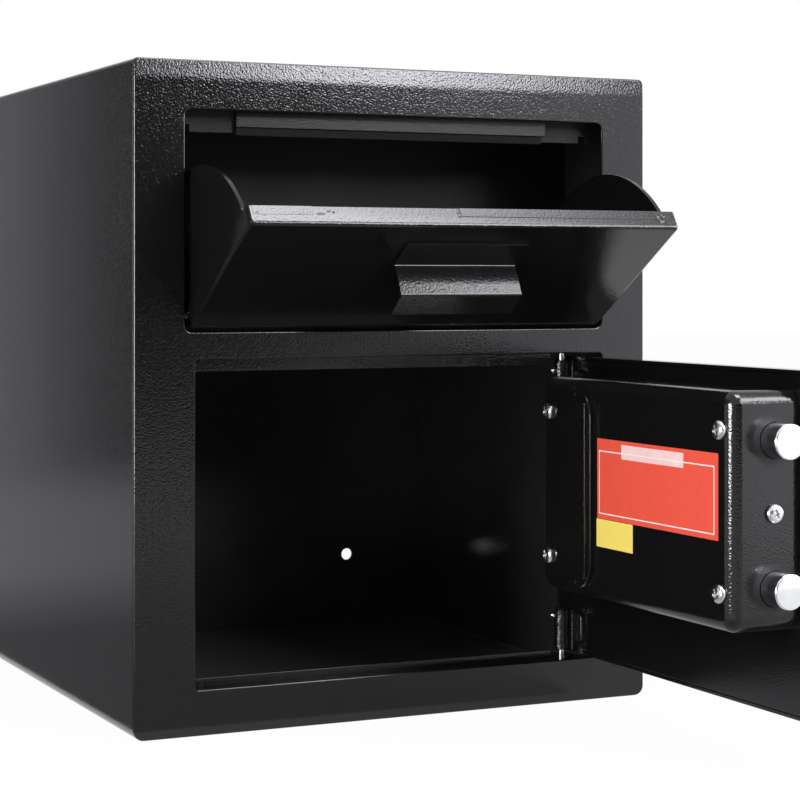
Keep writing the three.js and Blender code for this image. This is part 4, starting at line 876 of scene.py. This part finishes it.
def reflected(name, corners, letter, start, end, low, high):
    """A sheet that only reflections show. Along one axis its glow goes from low at start to high at end."""
    sheet = card(name, corners)
    sheet.visible_camera = sheet.visible_diffuse = sheet.visible_shadow = sheet.visible_transmission = False
    surface = bpy.data.materials.new(name)
    surface.use_nodes = True
    nodes = surface.node_tree
    nodes.nodes.clear()
    place = Wire(nodes).node("ShaderNodeTexCoord", output="Object").axis(letter)
    rise = place.node("ShaderNodeMapRange", None, {"Value": place, "From Min": start, "From Max": end,
                                                   "To Min": low, "To Max": high})
    glow = rise.node("ShaderNodeEmission", None, {"Color": CARD_WHITE, "Strength": rise})
    nodes.links.new(glow.socket, nodes.nodes.new("ShaderNodeOutputMaterial").inputs["Surface"])
    sheet.data.materials.append(surface)


def upright(first, last, low, high):
    """The corners of a sheet that stands before the safe, from one azimuth to the other."""
    return [around(first, CARD_DISTANCE, low), around(last, CARD_DISTANCE, low),
            around(last, CARD_DISTANCE, high), around(first, CARD_DISTANCE, high)]


def standing(ends, low, high):
    """The corners of an upright sheet between two places on the floor plan."""
    return [(*ends[0], low), (*ends[1], low), (*ends[1], high), (*ends[0], high)]


def lying(*places):
    """The corners of a sheet that lies just over the floor."""
    return [(*place, OVER_FLOOR) for place in places]


# Before the front: dark in the middle, so that the paint stays black, and brighter to both sides.
reflected("front_board_left", upright(-60, -6, 0.02, 0.78), "X", -1.9, -0.24, 1.0, 0.04)
reflected("front_board", upright(-6, 29.5, 0.02, 0.78), "X", 0.66, 1.13, 0.04, 1.5)
reflected("right_card", upright(29.5, 52, 0.02, 0.8), "X", 1.13, 1.5, 1.6, 2.7)
reflected("right_card_low", lying((0.55, -1.25), (1.5, -0.8), (2.1, -1.7), (0.95, -2.3)),
          "X", 0.6, 1.2, 1.6, 2.4)
reflected("front_floor", lying((-0.4, -0.2), (0.14, -0.2), (0.3, -1.0), (-0.1, -1.2)),
          "X", 0.0, 0.35, 0.5, 1.0)

# High before the front: the bright band along the front's leaning upper edge.
reflected("key_card_left", upright(13, 22, 0.79, 1.25), "X", 0.61, 0.9, 0.5, 27.0)
reflected("key_card_right", upright(22, 34, 0.79, 1.25), "X", 0.95, 1.3, 27.0, 15.0)
reflected("key_card_high", upright(17, 42, 1.25, 2.1), "X", 0.7, 0.95, 4.0, 12.0)

# The flags: four sheets round the cabinet's top, and one that stands at the front's left edge.
TOP_CORNERS = ((-0.194, -0.186), (0.194, -0.186), (0.194, 0.189), (-0.194, 0.189))
for side in range(4):
    ends = (TOP_CORNERS[side], TOP_CORNERS[(side + 1) % 4])
    reflected(f"top_flag_{side}", standing(ends, 0.4515, 1.1), "Z", 0.45, 1.3, 1.0, 1.0)
reflected("left_flag", standing(((-0.1935, -0.1905), (-0.1935, -0.45)), 0.25, 0.449),
          "Z", 0.0, 1.0, 0.2, 0.2)

# Over the right: the drawer's rim and the shelf of its pull.
reflected("top_card", [(0.0, -1.2, 1.8), (1.3, -1.2, 1.8), (1.3, -0.76, 1.8), (0.0, -0.3, 1.8)],
          "X", 0.45, 1.1, 19.5, 2.5)
reflected("shelf_card", [(0.7, -1.5, 1.0), (1.5, -1.3, 1.0), (1.4, -1.0, 1.6), (0.7, -1.25, 1.6)],
          "Z", 1.0, 1.6, 17.0, 10.0)

# At the sides: the drawer's right end and the bolts, the front's left edge and the lock cover's corner.
reflected("side_card", [(2.2, -1.2, 0.15), (2.2, 0.0, 0.15), (2.0, 0.0, 1.5), (2.0, -1.2, 1.5)],
          "Z", 0.1, 1.5, 12.0, 12.0)
reflected("left_card", standing(((-2.0, -0.5), (-1.6, -1.15)), 0.01, 0.7), "Z", 0.1, 1.2, 36.0, 36.0)

# Behind the left side: two boards that give it its fall from grey to black.
reflected("left_board_low", lying((-0.2, -0.2), (-0.36, -0.2), (-1.0, 1.6), (-0.2, 1.6)),
          "Y", 0.25, 0.63, 0.18, 0.43)
reflected("left_board_high", standing(((-1.0, 1.6), (-0.2, 1.6)), OVER_FLOOR, 1.3),
          "X", -0.73, -0.635, 0.07, 0.39)

softbox("key_light", around(23, 2.65, 1.27), (0, FRONT, 0.3), 1.5, 0.76, 19.0)
softbox("left_light", (-2.05, -0.85, 0.8), (0.0, -0.3, 0.2), 1.0, 1.5, 7.6)
softbox("top_light", (0.2, -0.6, 2.4), (0, -0.1, 0.3), 1.2, 1.2, 2.5)


# Camera: it is held level, 0.65 m to the left of the safe's middle and 1.38 m before its front, as the
# photo's straight edges give it. Its shift frames the safe as the photo does.
camera = bpy.data.cameras.new("camera")
camera.sensor_width = 36.0
camera.lens = 99.05
camera.shift_y = -0.1506
eye = bpy.data.objects.new("camera", camera)
bpy.context.collection.objects.link(eye)
eye.location = (-0.654, -1.5706, 0.30375)
eye.rotation_euler = Euler((math.radians(90), 0, math.radians(-25.28)))
bpy.context.scene.camera = eye
bpy.context.scene.view_settings.view_transform = "Standard"
